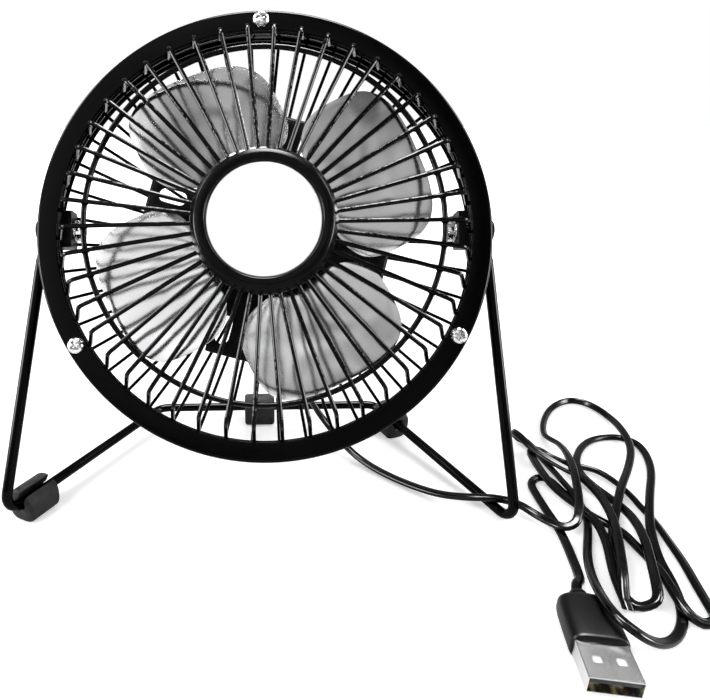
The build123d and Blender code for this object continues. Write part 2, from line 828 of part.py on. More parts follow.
# The cord's route, from the gland down behind the stand, over the right side bar and into the hank
gland_exit = head * gland_place() * Pos(0, 0, housing_r + gland_reach - cord_grip)
drop_points = [
    gland_exit.position,
    (gland_exit * Pos(0, 0, cord_first_run)).position,
    (9.4, 2.0, 39.6),
    (12.3, 5.8, 33.2),
    (15.2, 10.6, 27.4),
    (17.3, 14.1, 23.3),
]
run_points = [
    (18.3, 15.8, 21.1),
    (20.9, 18.2, 16.0),
    (24.8, 18.5, 10.4),
    (29.5, 15.4, 5.4),
    (34.9, 9.8, 2.0),
    (41.2, 2.0, 1.4),
    (49.8, -6.6, 1.5),
    (58.3, -14.6, 2.6),
    (66.2, -19.7, 4.9),
    (75.0, -20.8, 5.6),
    (83.0, -20.7, 3.4),
    (89.6, -25.2, 1.8),
]
tail_points = [
    (89.7, -43.2, 1.8),
    (87.0, -49.1, 2.4),
    (84.6, -55.0, 3.2),
]
# Outline of the loosely gathered hank on the table, seen from above
hank_outline = [
    (89.5, -48.0),
    (89.5, -7.0),
    (94.5, 8.0),
    (95.0, 26.0),
    (99.5, 28.0),
    (108.5, 32.0),
    (121.0, 54.0),
    (132.5, 61.0),
    (142.5, 58.5),
    (146.5, 48.0),
    (146.5, 22.0),
    (138.0, -2.0),
    (124.5, -28.0),
    (119.0, -66.0),
    (110.0, -73.0),
    (94.0, -77.5),
    (92.0, -70.0),
]


def bend_radii(points):
    """As large an arc at each inner point as its two runs allow."""
    radii = []
    for before, here, after in zip(points, points[1:], points[2:]):
        run_in = Vector(here) - Vector(before)
        run_out = Vector(after) - Vector(here)
        half_turn = math.radians(run_in.get_angle(run_out)) / 2
        radii.append(0.45 * min(run_in.length, run_out.length) / math.tan(half_turn))
    return radii


def cord_tube(name, points):
    radii = bend_radii(points)
    path = FilletPolyline(*points, radius=radii)
    solid = wire_along(path, cord_r)
    print(name, "radii", [round(radius, 1) for radius in radii], "length", round(path.length, 1))
    print(name, "volume", round(solid.volume, 1), "section x length", round(math.pi * cord_r**2 * path.length, 1))
    return solid


def cord_hank():
    outline = make_face(Polyline(*hank_outline, close=True))
    outline = fillet(outline.vertices(), 2.0)
    body = extrude(outline, amount=hank_height)
    return fillet(body.edges().group_by(Axis.Z)[-1], hank_edge_r)


plug = Location(plug_front, (0, 0, -plug_heading))


def plug_shell():
    length = shell_reach + shell_hidden
    bar = Box(shell_width, length, shell_height, align=(Align.CENTER, Align.MIN, Align.CENTER))
    shell = fillet(bar.edges().filter_by(Axis.Y), 0.5)
    inside = Box(
        shell_width - 2 * shell_wall, length, shell_height - 2 * shell_wall,
        align=(Align.CENTER, Align.MIN, Align.CENTER),
    )
    shell -= Pos(0, -shell_wall, 0) * inside
    for side in (-1, 1):
        shell -= Pos(side * window_offset, window_setback, 0) * Box(window_size, window_size, 2 * shell_height)
    return plug * shell


def plug_tongue():
    length = shell_reach + shell_hidden - shell_wall - tongue_setback
    top = shell_height / 2 - shell_wall
    tongue = Pos(0, tongue_setback, -top) * Box(
        tongue_width, length, tongue_thickness, align=(Align.CENTER, Align.MIN, Align.MIN)
    )
    return plug * tongue


def plug_contacts():
    top = -shell_height / 2 + shell_wall + tongue_thickness
    strips = []
    for number in range(4):
        x = (number - 1.5) * contact_pitch
        strips.append(Pos(x, tongue_setback + 0.8, top) * Box(
            contact_width, contact_length, contact_thickness, align=(Align.CENTER, Align.MIN, Align.MIN)
        ))
    return plug * Compound(strips)


def plug_grip():
    grip = Pos(0, shell_reach, 0) * Box(
        grip_width, grip_length, grip_height, align=(Align.CENTER, Align.MIN, Align.CENTER)
    )
    grip = fillet(grip.edges().filter_by(Axis.Y), grip_edge_r)
    grip -= Pos(0, shell_reach - 1, 0) * Box(
        shell_width, shell_hidden + 1, shell_height, align=(Align.CENTER, Align.MIN, Align.CENTER)
    )
    neck = Cone(grip_neck_r, grip_neck_tip_r, grip_neck_length, align=(Align.CENTER, Align.CENTER, Align.MIN))
    return plug * (grip + Pos(0, shell_reach + grip_length, 0) * Rot(-90, 0, 0) * neck)


plug_cord_exit = plug * Pos(0, shell_reach + grip_length + grip_neck_length, 0)
tail_points.append(plug_cord_exit.position)

# --- All the nodes -----------------------------------------------------------------------

head_parts = {
    "front_bezel": front_bezel(),
    "bezel_hoop": bezel_hoop(),
    "bezel_screws": bezel_screws(),
    "front_grille": front_grille(),
    "grille_cap": grille_cap(),
    "cap_badge": cap_badge(),
    "rear_grille": rear_grille(),
    "motor_bracket": motor_bracket(),
    "motor_screws": motor_screws(),
    "housing_screws": housing_screws(),
    "motor_housing": motor_housing(),
    "rear_cover": rear_cover(),
    "cover_screws": cover_screws(),
    "motor_can": motor_can(),
    "motor_end_bell": motor_end_bell(),
    "motor_brushes": motor_brushes(),
    "motor_magnets": motor_magnets(),
    "front_bush": front_bush(),
    "rear_bush": rear_bush(),
    "rotor_shaft": rotor_shaft(),
    "armature": armature(),
    "commutator": commutator(),
    "blade_hub": blade_hub(),
    "blade_wheel": blade_wheel(),
    "blade_retainer": blade_retainer(),
    "switch_body": switch_body(),
    "switch_terminals": switch_terminals(),
    "rocker": rocker(),
    "cord_gland": cord_gland(),
    "hinge_bolts": hinge_bolts(),
    "hinge_spacers": hinge_spacers(),
    "hinge_blocks": hinge_blocks(),
    "hinge_lock_washers": hinge_lock_washers(),
    "hinge_nuts": hinge_nuts(),
}
rear_bar = (rear_right - rear_left).length
standing_parts = {
    "stand_wire": stand_wire(),
    "foot_clip_left": foot_clip(front_left, rear_left, clip_left_distance, 135),
    "foot_clip_rear": foot_clip(rear_left, rear_right, rear_bar * clip_rear_share, 180),
    "foot_clip_right": foot_clip(rear_right, front_right, clip_right_distance, 30),
    "cord_drop": cord_tube("cord_drop", drop_points),
    "cord_run": cord_tube("cord_run", run_points),
    "cord_hank": cord_hank(),
    "cord_tail": cord_tube("cord_tail", tail_points),
    "plug_grip": plug_grip(),
    "plug_shell": plug_shell(),
    "plug_tongue": plug_tongue(),
    "plug_contacts": plug_contacts(),
}

for name, shape in head_parts.items():
    export_step(head * shape, f"parts/{name}.step")
for name, shape in standing_parts.items():
    export_step(shape, f"parts/{name}.step")
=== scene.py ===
import json
import math

import bmesh
import bpy
from mathutils import Matrix, Vector


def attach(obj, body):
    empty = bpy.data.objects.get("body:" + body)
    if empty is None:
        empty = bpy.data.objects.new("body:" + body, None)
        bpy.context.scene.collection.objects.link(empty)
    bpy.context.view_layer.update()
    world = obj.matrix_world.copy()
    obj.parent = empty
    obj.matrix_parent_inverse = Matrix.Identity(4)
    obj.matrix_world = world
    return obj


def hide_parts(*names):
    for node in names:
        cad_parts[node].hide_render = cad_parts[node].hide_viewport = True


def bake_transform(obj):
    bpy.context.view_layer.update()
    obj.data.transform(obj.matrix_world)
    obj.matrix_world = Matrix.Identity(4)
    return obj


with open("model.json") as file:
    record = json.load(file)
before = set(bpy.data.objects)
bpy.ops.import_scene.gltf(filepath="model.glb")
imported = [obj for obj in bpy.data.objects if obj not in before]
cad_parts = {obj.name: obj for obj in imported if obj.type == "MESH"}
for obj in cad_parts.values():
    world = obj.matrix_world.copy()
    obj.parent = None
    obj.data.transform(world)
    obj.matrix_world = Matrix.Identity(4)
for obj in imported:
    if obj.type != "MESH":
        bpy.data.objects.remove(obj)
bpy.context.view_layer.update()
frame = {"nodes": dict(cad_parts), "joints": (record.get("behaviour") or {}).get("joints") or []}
studio = bpy.context.scene
studio.view_settings.view_transform = "Standard"


# --- Camera ---------------------------------------------------------------------------------
# It stands close in front of the fan, a little above it, and looks 21.4 degrees down.
# The fan's face leans back by nearly as much, so the camera looks almost along its axis.
look_down = 21.4
camera_data = bpy.data.cameras.new("camera")
camera_data.sensor_width = 36.0
camera_data.lens = 31.44
camera_data.shift_x = 0.1172
camera_data.clip_start = 0.01
camera = bpy.data.objects.new("camera", camera_data)
camera.location = (0.0035, -0.1884, 0.1220)
camera.rotation_euler = (math.radians(90.0 - look_down), 0.0, 0.0)
studio.collection.objects.link(camera)
studio.camera = camera


# --- Floor, backdrop and light --------------------------------------------------------------
# A seamless white sheet under the fan, with a white tent around it: two wide soft lamps
# from the upper left and upper right and a weak one from behind. Shiny surfaces see dim walls
# and narrow bright windows instead, which draw thin white lines along the wires.
def shade(colour):
    """A colour with full alpha; a single number is that grey."""
    return (*(colour if isinstance(colour, tuple) else (colour,) * 3), 1.0)


def new_node(tree, kind, ready=(), **options):
    """A node with its options set, and with the values of its inputs, by name or number."""
    made = tree.nodes.new(kind)
    for option, value in options.items():
        setattr(made, option, value)
    for socket, value in dict(ready).items():
        made.inputs[socket].default_value = value
    return made


def wire_up(tree, *wires):
    """Join nodes, each wire given as (node, its output, next node, its input)."""
    for giver, out, taker, into in wires:
        tree.links.new(giver.outputs[out], taker.inputs[into])


def shader_of(name, ready):
    """A new node material, with its node tree and its main shader."""
    material = bpy.data.materials.new(name)
    material.use_nodes = True
    shader = material.node_tree.nodes["Principled BSDF"]
    for socket, value in ready.items():
        shader.inputs[socket].default_value = value
    return material, material.node_tree, shader


def seamless_paper():
    """White paper that glows for camera rays alone, as painted light: weakly near the fan, so the shadow still shows,
    and more further out, up to plain white.
    """
    material, tree, shader = shader_of(
        "seamless_paper", {"Roughness": 0.9, "Specular IOR Level": 0.1, "Emission Color": shade(1.0)}
    )
    place = new_node(tree, "ShaderNodeTexCoord")
    fibre = new_node(tree, "ShaderNodeTexNoise", {"Scale": 900.0})
    tint = new_node(tree, "ShaderNodeMix", {6: shade(0.93), 7: shade(0.95)}, data_type="RGBA")
    distance = new_node(tree, "ShaderNodeVectorMath", operation="LENGTH")
    # Painted light: the emission the camera sees rises from 0.40 near the fan to 1.0 further out.
    glow_with_distance = new_node(
        tree, "ShaderNodeMapRange", {"From Min": 0.25, "From Max": 0.55, "To Min": 0.40, "To Max": 1.0},
        interpolation_type="SMOOTHSTEP",
    )
    path = new_node(tree, "ShaderNodeLightPath")
    lift = new_node(tree, "ShaderNodeMath", operation="MULTIPLY")
    wire_up(
        tree, (place, "Object", fibre, "Vector"), (fibre, "Fac", tint, 0), (tint, 2, shader, "Base Color"),
        (place, "Object", distance, 0), (distance, "Value", glow_with_distance, "Value"), (glow_with_distance, 0, lift, 1),
        (path, "Is Camera Ray", lift, 0), (lift, 0, shader, "Emission Strength"),
    )
    return material


def soft_lamp(name, where, towards, width, height, power):
    """A wide lamp that lights matt surfaces only; shiny ones see the tent's windows."""
    data = bpy.data.lights.new(name, "AREA")
    data.shape = "RECTANGLE"
    data.size = width
    data.size_y = height
    data.energy = power
    lamp = bpy.data.objects.new(name, data)
    lamp.location = where
    lamp.rotation_euler = (Vector(towards) - Vector(where)).to_track_quat("-Z", "Y").to_euler()
    lamp.visible_glossy = False
    studio.collection.objects.link(lamp)


floor_mesh = bpy.data.meshes.new("floor")
floor_mesh.from_pydata([(-4, -4, 0), (4, -4, 0), (4, 4, 0), (-4, 4, 0)], [], [(0, 1, 2, 3)])
floor = bpy.data.objects.new("floor", floor_mesh)
floor.data.materials.append(seamless_paper())
studio.collection.objects.link(floor)

soft_lamp("lamp_left", (-0.55, -0.45, 0.75), (0.0, 0.0, 0.08), 0.5, 0.5, 6.5)
soft_lamp("lamp_right", (0.60, -0.35, 0.60), (0.0, 0.0, 0.08), 0.4, 0.4, 3.5)
soft_lamp("lamp_back", (0.10, 0.70, 0.55), (0.0, 0.0, 0.08), 0.7, 0.3, 3.0)


def white_tent():
    """White where it is seen straight on; shiny surfaces see dim walls and bright windows."""
    tent = bpy.data.worlds.new("white_tent")
    tent.use_nodes = True
    tree = tent.node_tree
    sky = tree.nodes["Background"]
    sky.inputs["Color"].default_value = shade(1.0)
    path = new_node(tree, "ShaderNodeLightPath")
    place = new_node(tree, "ShaderNodeTexCoord")
    panels = new_node(tree, "ShaderNodeTexNoise", {"Scale": 2.6, "Detail": 1.0})
    shine = new_node(
        tree, "ShaderNodeMapRange", {"From Min": 0.38, "From Max": 0.62, "To Min": 0.16, "To Max": 0.68}
    )
    wire_up(tree, (place, "Generated", panels, "Vector"), (panels, "Fac", shine, "Value"))
    for towards, edge, full, strength in (
        ((-0.56, -0.51, 0.66), 0.68, 0.94, 1.0),
        ((0.05, 0.15, 0.98), 0.955, 0.985, 80.0),
        ((-0.95, -0.22, 0.20), 0.965, 0.985, 40.0),
        ((-0.75, 0.10, 0.65), 0.975, 0.990, 22.0),
        ((0.95, -0.22, 0.20), 0.965, 0.985, 40.0),
        ((0.75, 0.10, 0.65), 0.975, 0.990, 22.0),
    ):
        facing = new_node(tree, "ShaderNodeVectorMath", {1: Vector(towards).normalized()}, operation="DOT_PRODUCT")
        window = new_node(
            tree, "ShaderNodeMapRange", {"From Min": edge, "From Max": full, "To Min": 0.0, "To Max": strength},
            interpolation_type="SMOOTHSTEP",
        )
        more = new_node(tree, "ShaderNodeMath", operation="ADD")
        wire_up(
            tree, (place, "Generated", facing, 0), (facing, "Value", window, "Value"),
            (window, 0, more, 0), (shine, 0, more, 1),
        )
        shine = more
    soft = new_node(tree, "ShaderNodeMix", {2: 0.42})
    seen = new_node(tree, "ShaderNodeMath", operation="ADD", use_clamp=True)
    level = new_node(tree, "ShaderNodeMix", {3: 1.0})
    wire_up(
        tree, (path, "Is Glossy Ray", soft, 0), (shine, 0, soft, 3), (path, "Is Camera Ray", seen, 0),
        (path, "Is Transmission Ray", seen, 1), (seen, 0, level, 0), (soft, 0, level, 2),
        (level, 0, sky, "Strength"),
    )
    return tent


studio.world = white_tent()


# --- Cord -----------------------------------------------------------------------------------
# A thin twin-core cord with a groove between its two cores, of soft black PVC. It leaves the
# housing's gland, comes down behind the stand, crosses the right side bar and lies in loose
# loops, as it was unwound from its tie, up to the plug.
cord_width = 0.0027
cord_thickness = 0.0022
cord_route = [
    (7.5, 6, 52.2), (7.5, 3.4, 46.3), (9.4, 2, 39.6), (12.3, 5.8, 33.2), (15.2, 10.6, 27.4),
    (17.2, 13.9, 23.6), (18.3, 15.8, 21.1), (20.9, 18.2, 16), (24.8, 18.5, 10.4), (29.5, 15.4, 5.4),
    (34.9, 9.8, 2), (41.2, 2, 1.2), (49.8, -6.6, 1.3), (58.3, -14.6, 2.6), (66.2, -19.7, 4.9),
    (75, -20.8, 5.6), (83, -20.9, 3.4), (87.4, -25.3, 1.8), (91.3, -32.5, 3.1), (93.7, -33.1, 3.6),
    (96.2, -32.3, 4.9), (98.9, -27.3, 6.2), (102.2, -18.9, 6.7), (106.7, -6.3, 6.5), (110.1, 5.3, 5.4),
    (112, 16, 3.9), (111, 22.1, 2.5), (110.7, 27.6, 1.6), (114.9, 38.1, 1.1), (122.9, 50.3, 1.1),
    (133, 58.1, 1.1), (140.3, 56.5, 1.1), (143.8, 47.4, 1.4), (143.9, 36.2, 2.2), (141, 23.5, 3.3),
    (136.7, 11.8, 3.8), (128.6, -1, 3.9), (120.3, -12, 4.1), (114.9, -20.3, 3.9), (109.4, -28.9, 3.3),
    (104.7, -37.2, 2.1), (101.1, -47.1, 1.5), (97.1, -57.1, 1.1), (97, -61.5, 1), (98.7, -63, 1.3),
    (100.1, -63.6, 1.9), (103.1, -63.5, 3.7), (105.6, -57.5, 4.6), (108.9, -49.1, 4.7), (113.1, -38.9, 4.1),
    (115.8, -28.8, 3.1), (116.3, -21, 2), (115, -14.7, 1.6), (112.9, -9.2, 1.9), (111.2, -4.3, 2.7),
    (111.2, -1, 3.2), (113.6, 6.5, 3.1), (121.3, 17.9, 2), (129.2, 24.5, 1.3), (136.6, 26.4, 1.1),
    (141, 25.6, 1.1), (144.8, 21.6, 1.1), (143.1, 11.7, 1.2), (137.8, -0.2, 1.8), (128.1, -15.4, 2.9),
    (120.2, -29, 3.2), (116.5, -37.5, 2.3), (114, -46.1, 1.4), (113.2, -52.4, 1.1), (110.8, -60.7, 1.1),
    (107.5, -67.6, 1.1), (102.6, -73.1, 1.4), (97, -76.7, 3), (91.9, -78.5, 5.9), (87.5, -78.5, 9),
    (84.8, -74.9, 10), (85.2, -67.8, 9), (88.3, -57.1, 6), (93.1, -45.6, 3.1), (99.9, -32.7, 1.5),
    (102.6, -26, 1.8), (103, -20.7, 3.4), (103.2, -11.8, 2.8), (103.4, 1, 1.8), (102.8, 10.3, 1.4),
    (102.6, 19.9, 0.8), (100.3, 23.6, 1.2), (97.9, 23.7, 3.5), (97.5, 23.5, 4.1), (96.2, 22.2, 5.9),
    (96.8, 17.9, 6.6), (98.9, 9.8, 5.6), (101.8, 4.8, 4.9), (105.3, -0.3, 4.3), (109.7, -6.3, 4),
    (110.4, -17.6, 4.3), (108.6, -27.2, 5), (106, -35.8, 5.4), (101.8, -46.1, 5.5), (97.8, -55.6, 5.1),
    (95.7, -60.8, 2.7), (95.3, -63.4, 1.6), (95.2, -64.7, 1.4), (95.4, -64.3, 1.9), (95.4, -61.7, 2.3),
    (96.9, -52.7, 3.4), (101.7, -40.2, 3.1), (103.2, -31.2, 3.5), (101.7, -24.9, 4.1), (98.9, -19.5, 4.2),
    (96.8, -11.8, 4.5), (97.1, -1.2, 4.2), (98.4, 9.4, 3.3), (99.7, 12.6, 3.4), (101.6, 13.4, 3.4),
    (104.1, 13.6, 2.7), (107.4, 10, 1.1), (111, 4.9, 1.1), (115.3, 3.4, 1.1), (119.3, 0.8, 1.1),
    (121.8, -5.6, 1.1), (122.9, -14, 1.1), (122.6, -21.8, 1.1), (122.9, -28.1, 1.1), (121.6, -37.8, 1.1),
    (120.4, -46.7, 1.1), (118.5, -54.9, 1.4), (116.8, -62.9, 1.5), (115.7, -67.7, 0.9), (113.2, -69, 1.1),
    (111.3, -69, 1.6), (108.5, -67.7, 2.9), (108.3, -61.3, 4), (110, -53.4, 3.5), (110.8, -45.6, 2.4),
    (111, -38.3, 1.4), (110.7, -32.1, 1.1), (107.6, -28.1, 1.1), (104.7, -23.8, 1.1), (102.4, -17.4, 1.1),
    (101.3, -9.2, 1.1), (99.6, -4.6, 1.9), (97, -3.9, 2.2), (95.2, -4.1, 2), (92.4, -6.2, 1.1),
    (92, -14.3, 1.1), (91.8, -21.8, 1.1), (91.9, -28.1, 1.1), (91.5, -35, 1.1), (89.9, -43.6, 1.4),
    (88.5, -50.2, 1.9), (86.9, -55.2, 2.6), (84.6, -57, 3.8), (83.3, -60.4, 3.8),
]


def made_plain(holder):
    """The points and faces that an object comes to; the object itself is taken away."""
    depsgraph = bpy.context.evaluated_depsgraph_get()
    mesh = bpy.data.meshes.new_from_object(holder.evaluated_get(depsgraph), depsgraph=depsgraph)
    shape = [vertex.co.copy() for vertex in mesh.vertices], [tuple(face.vertices) for face in mesh.polygons]
    bpy.data.objects.remove(holder)
    bpy.data.meshes.remove(mesh)
    return shape


def soft_line(route):
    """The line that a soft cord takes past the given places, in metres."""
    data = bpy.data.curves.new("cord_line", "CURVE")
    data.dimensions = "3D"
    spline = data.splines.new("NURBS")
    spline.points.add(len(route) - 1)
    for point, (x, y, z) in zip(spline.points, route):
        point.co = (x / 1000, y / 1000, z / 1000, 1.0)
    spline.order_u = 3
    spline.use_endpoint_u = True
    spline.resolution_u = 6
    holder = bpy.data.objects.new("cord_line", data)
    studio.collection.objects.link(holder)
    return made_plain(holder)[0]


def evenly(points, step):
    """The same line with its points evenly spaced."""
    spaced = [points[0].copy()]
    left = step
    for before, after in zip(points, points[1:]):
        run = (after - before).length
        while run >= left:
            before = before + (after - before) * (left / run)
            spaced.append(before.copy())
            run = (after - before).length
            left = step
        left -= run
    if (points[-1] - spaced[-1]).length < step / 2:
        spaced.pop()
    spaced.append(points[-1].copy())
    return spaced


def bands(rings, count, first=0, closed=False):
    """Faces between neighbouring rings of points, and back to the first ring where closed."""
    faces = []
    for ring in range(rings if closed else rings - 1):
        low, high = first + ring * count, first + (ring + 1) % rings * count
        for here in range(count):
            there = (here + 1) % count
            faces.append((low + here, low + there, high + there, high + here))
    return faces


def sweep(path, outlines, sides=None):
    """Carry an outline along a path and close both ends. Each outline is a list of (across, up)."""
    verts = []
    count = len(outlines[0])
    across = None
    for number, centre in enumerate(path):
        before, after = path[max(number - 1, 0)], path[min(number + 1, len(path) - 1)]
        along = (after - before).normalized()
        if sides is not None:
            across = sides[number]
        elif across is None:
            across = along.cross(Vector((0.13, 0.29, 0.95))).normalized()
        across = (across - along * across.dot(along)).normalized()
        up = along.cross(across)
        verts += [centre + across * a + up * b for a, b in outlines[number]]
    ends = [tuple(reversed(range(count))), tuple(range((len(path) - 1) * count, len(path) * count))]
    return verts, bands(len(path), count) + ends


def finished(name, mesh, crisp=35.0, weld=2e-6):
    """The mesh as a piece in the scene: welded, its faces outward, its real corners crisp."""
    work = bmesh.new()
    work.from_mesh(mesh)
    if weld:
        bmesh.ops.remove_doubles(work, verts=work.verts, dist=weld)
    bmesh.ops.recalc_face_normals(work, faces=work.faces)
    work.to_mesh(mesh)
    work.free()
    mesh.polygons.foreach_set("use_smooth", [True] * len(mesh.polygons))
    mesh.set_sharp_from_angle(angle=math.radians(crisp))
    obj = bpy.data.objects.new(name, mesh)
    studio.collection.objects.link(obj)
    return obj


def piece(name, verts, faces, crisp=35.0):
    """A finished piece from its points and faces."""
    mesh = bpy.data.meshes.new(name)
    mesh.from_pydata([tuple(vert) for vert in verts], [], faces)
    return finished(name, mesh, crisp)


def fit(obj, body, finish, slot, *nodes):
    """Give a piece its finish, hang it on its body, and let it stand for its plain solids."""
    obj.data.materials.clear()
    obj.data.materials.append(finish)
    if body is not None:
        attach(obj, body)
    if nodes:
        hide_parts(*nodes)
    return obj


def colour_ramp(tree, *stops):
    """A ramp between two colours; each stop is (position, colour)."""
    ramp = tree.nodes.new("ShaderNodeValToRGB")
    for mark, (position, colour) in zip(ramp.color_ramp.elements, stops):
        mark.position = position
        mark.color = shade(colour)
    return ramp


def grained(name, dark, light, patch, rough, grain, depth, metal=0.0, specular=0.5, stretch=(1, 1, 1)):
    """A surface whose colour drifts in patches and whose gloss and height follow a finer grain."""
    material, tree, shader = shader_of(name, {"Metallic": metal, "Specular IOR Level": specular})
    place = new_node(tree, "ShaderNodeTexCoord")
    mapping = new_node(tree, "ShaderNodeMapping", {"Scale": stretch})
    patches = new_node(tree, "ShaderNodeTexNoise", {"Scale": patch, "Detail": 4.0})
    grains = new_node(tree, "ShaderNodeTexNoise", {"Scale": grain, "Detail": 3.0})
    tint = colour_ramp(tree, (0.35, dark), (0.65, light))
    gloss = new_node(
        tree, "ShaderNodeMapRange", {"From Min": 0.3, "From Max": 0.7, "To Min": rough[0], "To Max": rough[1]}
    )
    bump = new_node(tree, "ShaderNodeBump", {"Distance": depth})
    wire_up(
        tree, (place, "Object", mapping, "Vector"), (mapping, 0, patches, "Vector"), (mapping, 0, grains, "Vector"),
        (patches, "Fac", tint, "Fac"), (tint, "Color", shader, "Base Color"), (grains, "Fac", gloss, "Value"),
        (gloss, 0, shader, "Roughness"), (grains, "Fac", bump, "Height"), (bump, 0, shader, "Normal"),
    )
    return material


def flat_side(path, spins):
    """Which way the cord's wide side runs: level where it lies, carried on where it drops."""
    sides = [None] * len(path)
    carried = None
    for number in reversed(range(len(path))):
        before, after = path[max(number - 1, 0)], path[min(number + 1, len(path) - 1)]
        along = (after - before).normalized()
        level = along.cross(Vector((0.0, 0.0, 1.0)))
        pull = 0.12 * min(1.0, level.length * 2.0)
        if carried is None:
            carried = level.normalized()
        carried = (carried - along * carried.dot(along)).normalized()
        if level.length > 1e-3:
            level.normalize()
            if level.dot(carried) < 0:
                level.negate()
            carried = (carried * (1 - pull) + level * pull).normalized()
        share = number / (len(path) - 1)
        turn = sum(size * math.exp(-((share - middle) / width) ** 2) for middle, width, size in spins)
        sides[number] = Matrix.Rotation(turn, 3, along) @ carried
    return sides


def twin_core(width, thickness, steps=22):
    """The cord's cross-section: two round cores side by side, joined by a web."""
    lobe = thickness / 2
    offset = width / 2 - lobe
    outline = []
    for number in range(steps):
        angle = 2 * math.pi * number / steps
        a = math.cos(angle)
        reach = offset * abs(a) + math.sqrt(max(lobe ** 2 - (offset * math.sin(angle)) ** 2, 1e-12))
        outline.append((reach * a, reach * math.sin(angle) * (0.80 + 0.20 * abs(a))))
    return outline


def laid(path, sides, width, thickness):
    """The path lifted where the cord would sink into the table."""
    for point, side in zip(path, sides):
        tilt = abs(side.z)
        half = tilt * width / 2 + math.sqrt(max(0.0, 1 - tilt ** 2)) * thickness / 2
        point.z = max(point.z, half + 0.00004)
    return path


cord_path = evenly(soft_line(cord_route), 0.0013)
cord_twists = [(0.22, 0.05, 1.2), (0.36, 0.03, -0.8), (0.62, 0.06, 0.9), (0.83, 0.04, -0.7)]
cord_black = grained("cord_black", 0.0008, 0.0022, 120.0, (0.14, 0.22), 500.0, 0.000004, specular=0.17)
cord_sides = flat_side(cord_path, cord_twists)
laid(cord_path, cord_sides, cord_width, cord_thickness)
cord = piece(
    "cord",
    *sweep(cord_path, [twin_core(cord_width, cord_thickness)] * len(cord_path), cord_sides),
    crisp=80.0,
)
fit(cord, None, cord_black, "cord_black", "cord_drop", "cord_run", "cord_hank", "cord_tail")
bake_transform(cord)


# --- Stand ----------------------------------------------------------------------------------
# One length of 3.2 mm steel rod, bent at four corners and painted gloss black. Its two ends
# are hammered flat into eyelets, which hang on the tilt bolts at the sides of the ring.
tilt_axis = Vector((0.0015, -0.0016, 0.0872))
stand_wire_r = 0.0016
stand_corners = [(-78.1, -31.0, 6.0), (-42.0, 39.4, 7.3), (46.0, 42.4, 7.3), (79.1, -29.4, 1.6)]
stand_bends = [4.5, 6.0, 6.0, 4.5]
eyelet_x = 0.0660
eyelet_r = 0.0046
eyelet_thickness = 0.0018


def eased(corners, radii, closed=False, steps=8):
    """The same run of corners with each one rounded to its radius."""
    corners = [Vector(corner) for corner in corners]
    count = len(corners)
    points = []
    for number, (corner, radius) in enumerate(zip(corners, radii)):
        if radius <= 0 or (not closed and number in (0, count - 1)):
            points.append(corner)
            continue
        back = corners[number - 1] - corner
        on = corners[(number + 1) % count] - corner
        half = back.angle(on) / 2
        reach = min(radius / math.tan(half), 0.49 * back.length, 0.49 * on.length)
        radius = reach * math.tan(half)
        middle = corner + (back.normalized() + on.normalized()).normalized() * (radius / math.sin(half))
        start = corner + back.normalized() * reach - middle
        stop = corner + on.normalized() * reach - middle
        for step in range(steps + 1):
            points.append(middle + start.normalized().slerp(stop.normalized(), step / steps) * radius)
    return points


def turned(profile, steps=96):
    """Turn a closed (radius, height) outline about the Z axis."""
    verts = [
        (r * math.cos(2 * math.pi * step / steps), r * math.sin(2 * math.pi * step / steps), h)
        for step in range(steps)
        for r, h in profile
    ]
    return verts, bands(steps, len(profile), closed=True)


def rounded_profile(corners, radii, steps=5):
    """A closed (radius, height) outline in millimetres with its corners rounded, in metres."""
    rounded = eased([(r, h, 0.0) for r, h in corners], radii, closed=True, steps=steps)
    return [(point.x / 1000, point.y / 1000) for point in rounded]


def turned_ring(bore, rim, low, high, eases, smooth=5, steps=48):
    """A plain ring about the Z axis, in millimetres, with its four corners eased."""
    return turned(rounded_profile([(bore, low), (rim, low), (rim, high), (bore, high)], eases, smooth), steps)


def moved(shape, place):
    """The same shape in another place."""
    verts, faces = shape
    return [place @ Vector(vert) for vert in verts], faces


def joined(*shapes):
    """Several shapes as one."""
    verts, faces = [], []
    for more_verts, more_faces in shapes:
        faces += [tuple(number + len(verts) for number in face) for face in more_faces]
        verts += list(more_verts)
    return verts, faces


def round_wire(radius, steps=18):
    """A round wire's cross-section."""
    return [
        (radius * math.cos(2 * math.pi * step / steps), radius * math.sin(2 * math.pi * step / steps))
        for step in range(steps)
    ]


def hammered_eye(side, towards):
    """A flat eyelet on the tilt axis, and the tongue that runs from it into the round wire."""
    centre = tilt_axis + Vector((side * eyelet_x, 0.0, 0.0))
    half = eyelet_thickness * 500
    eye = turned_ring(1.56, eyelet_r * 1000, -half, half, [0.2, 0.7, 0.7, 0.2])
    along = (towards - centre).normalized()
    stations, outlines = [], []
    for number in range(11):
        share = number / 10
        spread = 1 - share ** 2 * (3 - 2 * share)
        stations.append(centre + along * (0.0030 + 0.0105 * share))
        wide = stand_wire_r * 1.02 + 0.0014 * spread
        thick = stand_wire_r * 1.02 - 0.00072 * spread
        outlines.append([(a * wide / stand_wire_r, b * thick / stand_wire_r) for a, b in round_wire(stand_wire_r)])
    sides = [along.cross(Vector((1.0, 0.0, 0.0)))] * 11
    eye_place = Matrix.Translation(centre) @ Matrix.Rotation(math.pi / 2, 4, "Y")
    return joined(moved(eye, eye_place), sweep(stations, outlines, sides))


def wire_start(side, corner):
    """Where the round wire begins, beyond the eyelet's rim."""
    centre = tilt_axis + Vector((side * eyelet_x, 0.0, 0.0))
    return centre + (Vector(corner) / 1000 - centre).normalized() * (eyelet_r + 0.004)


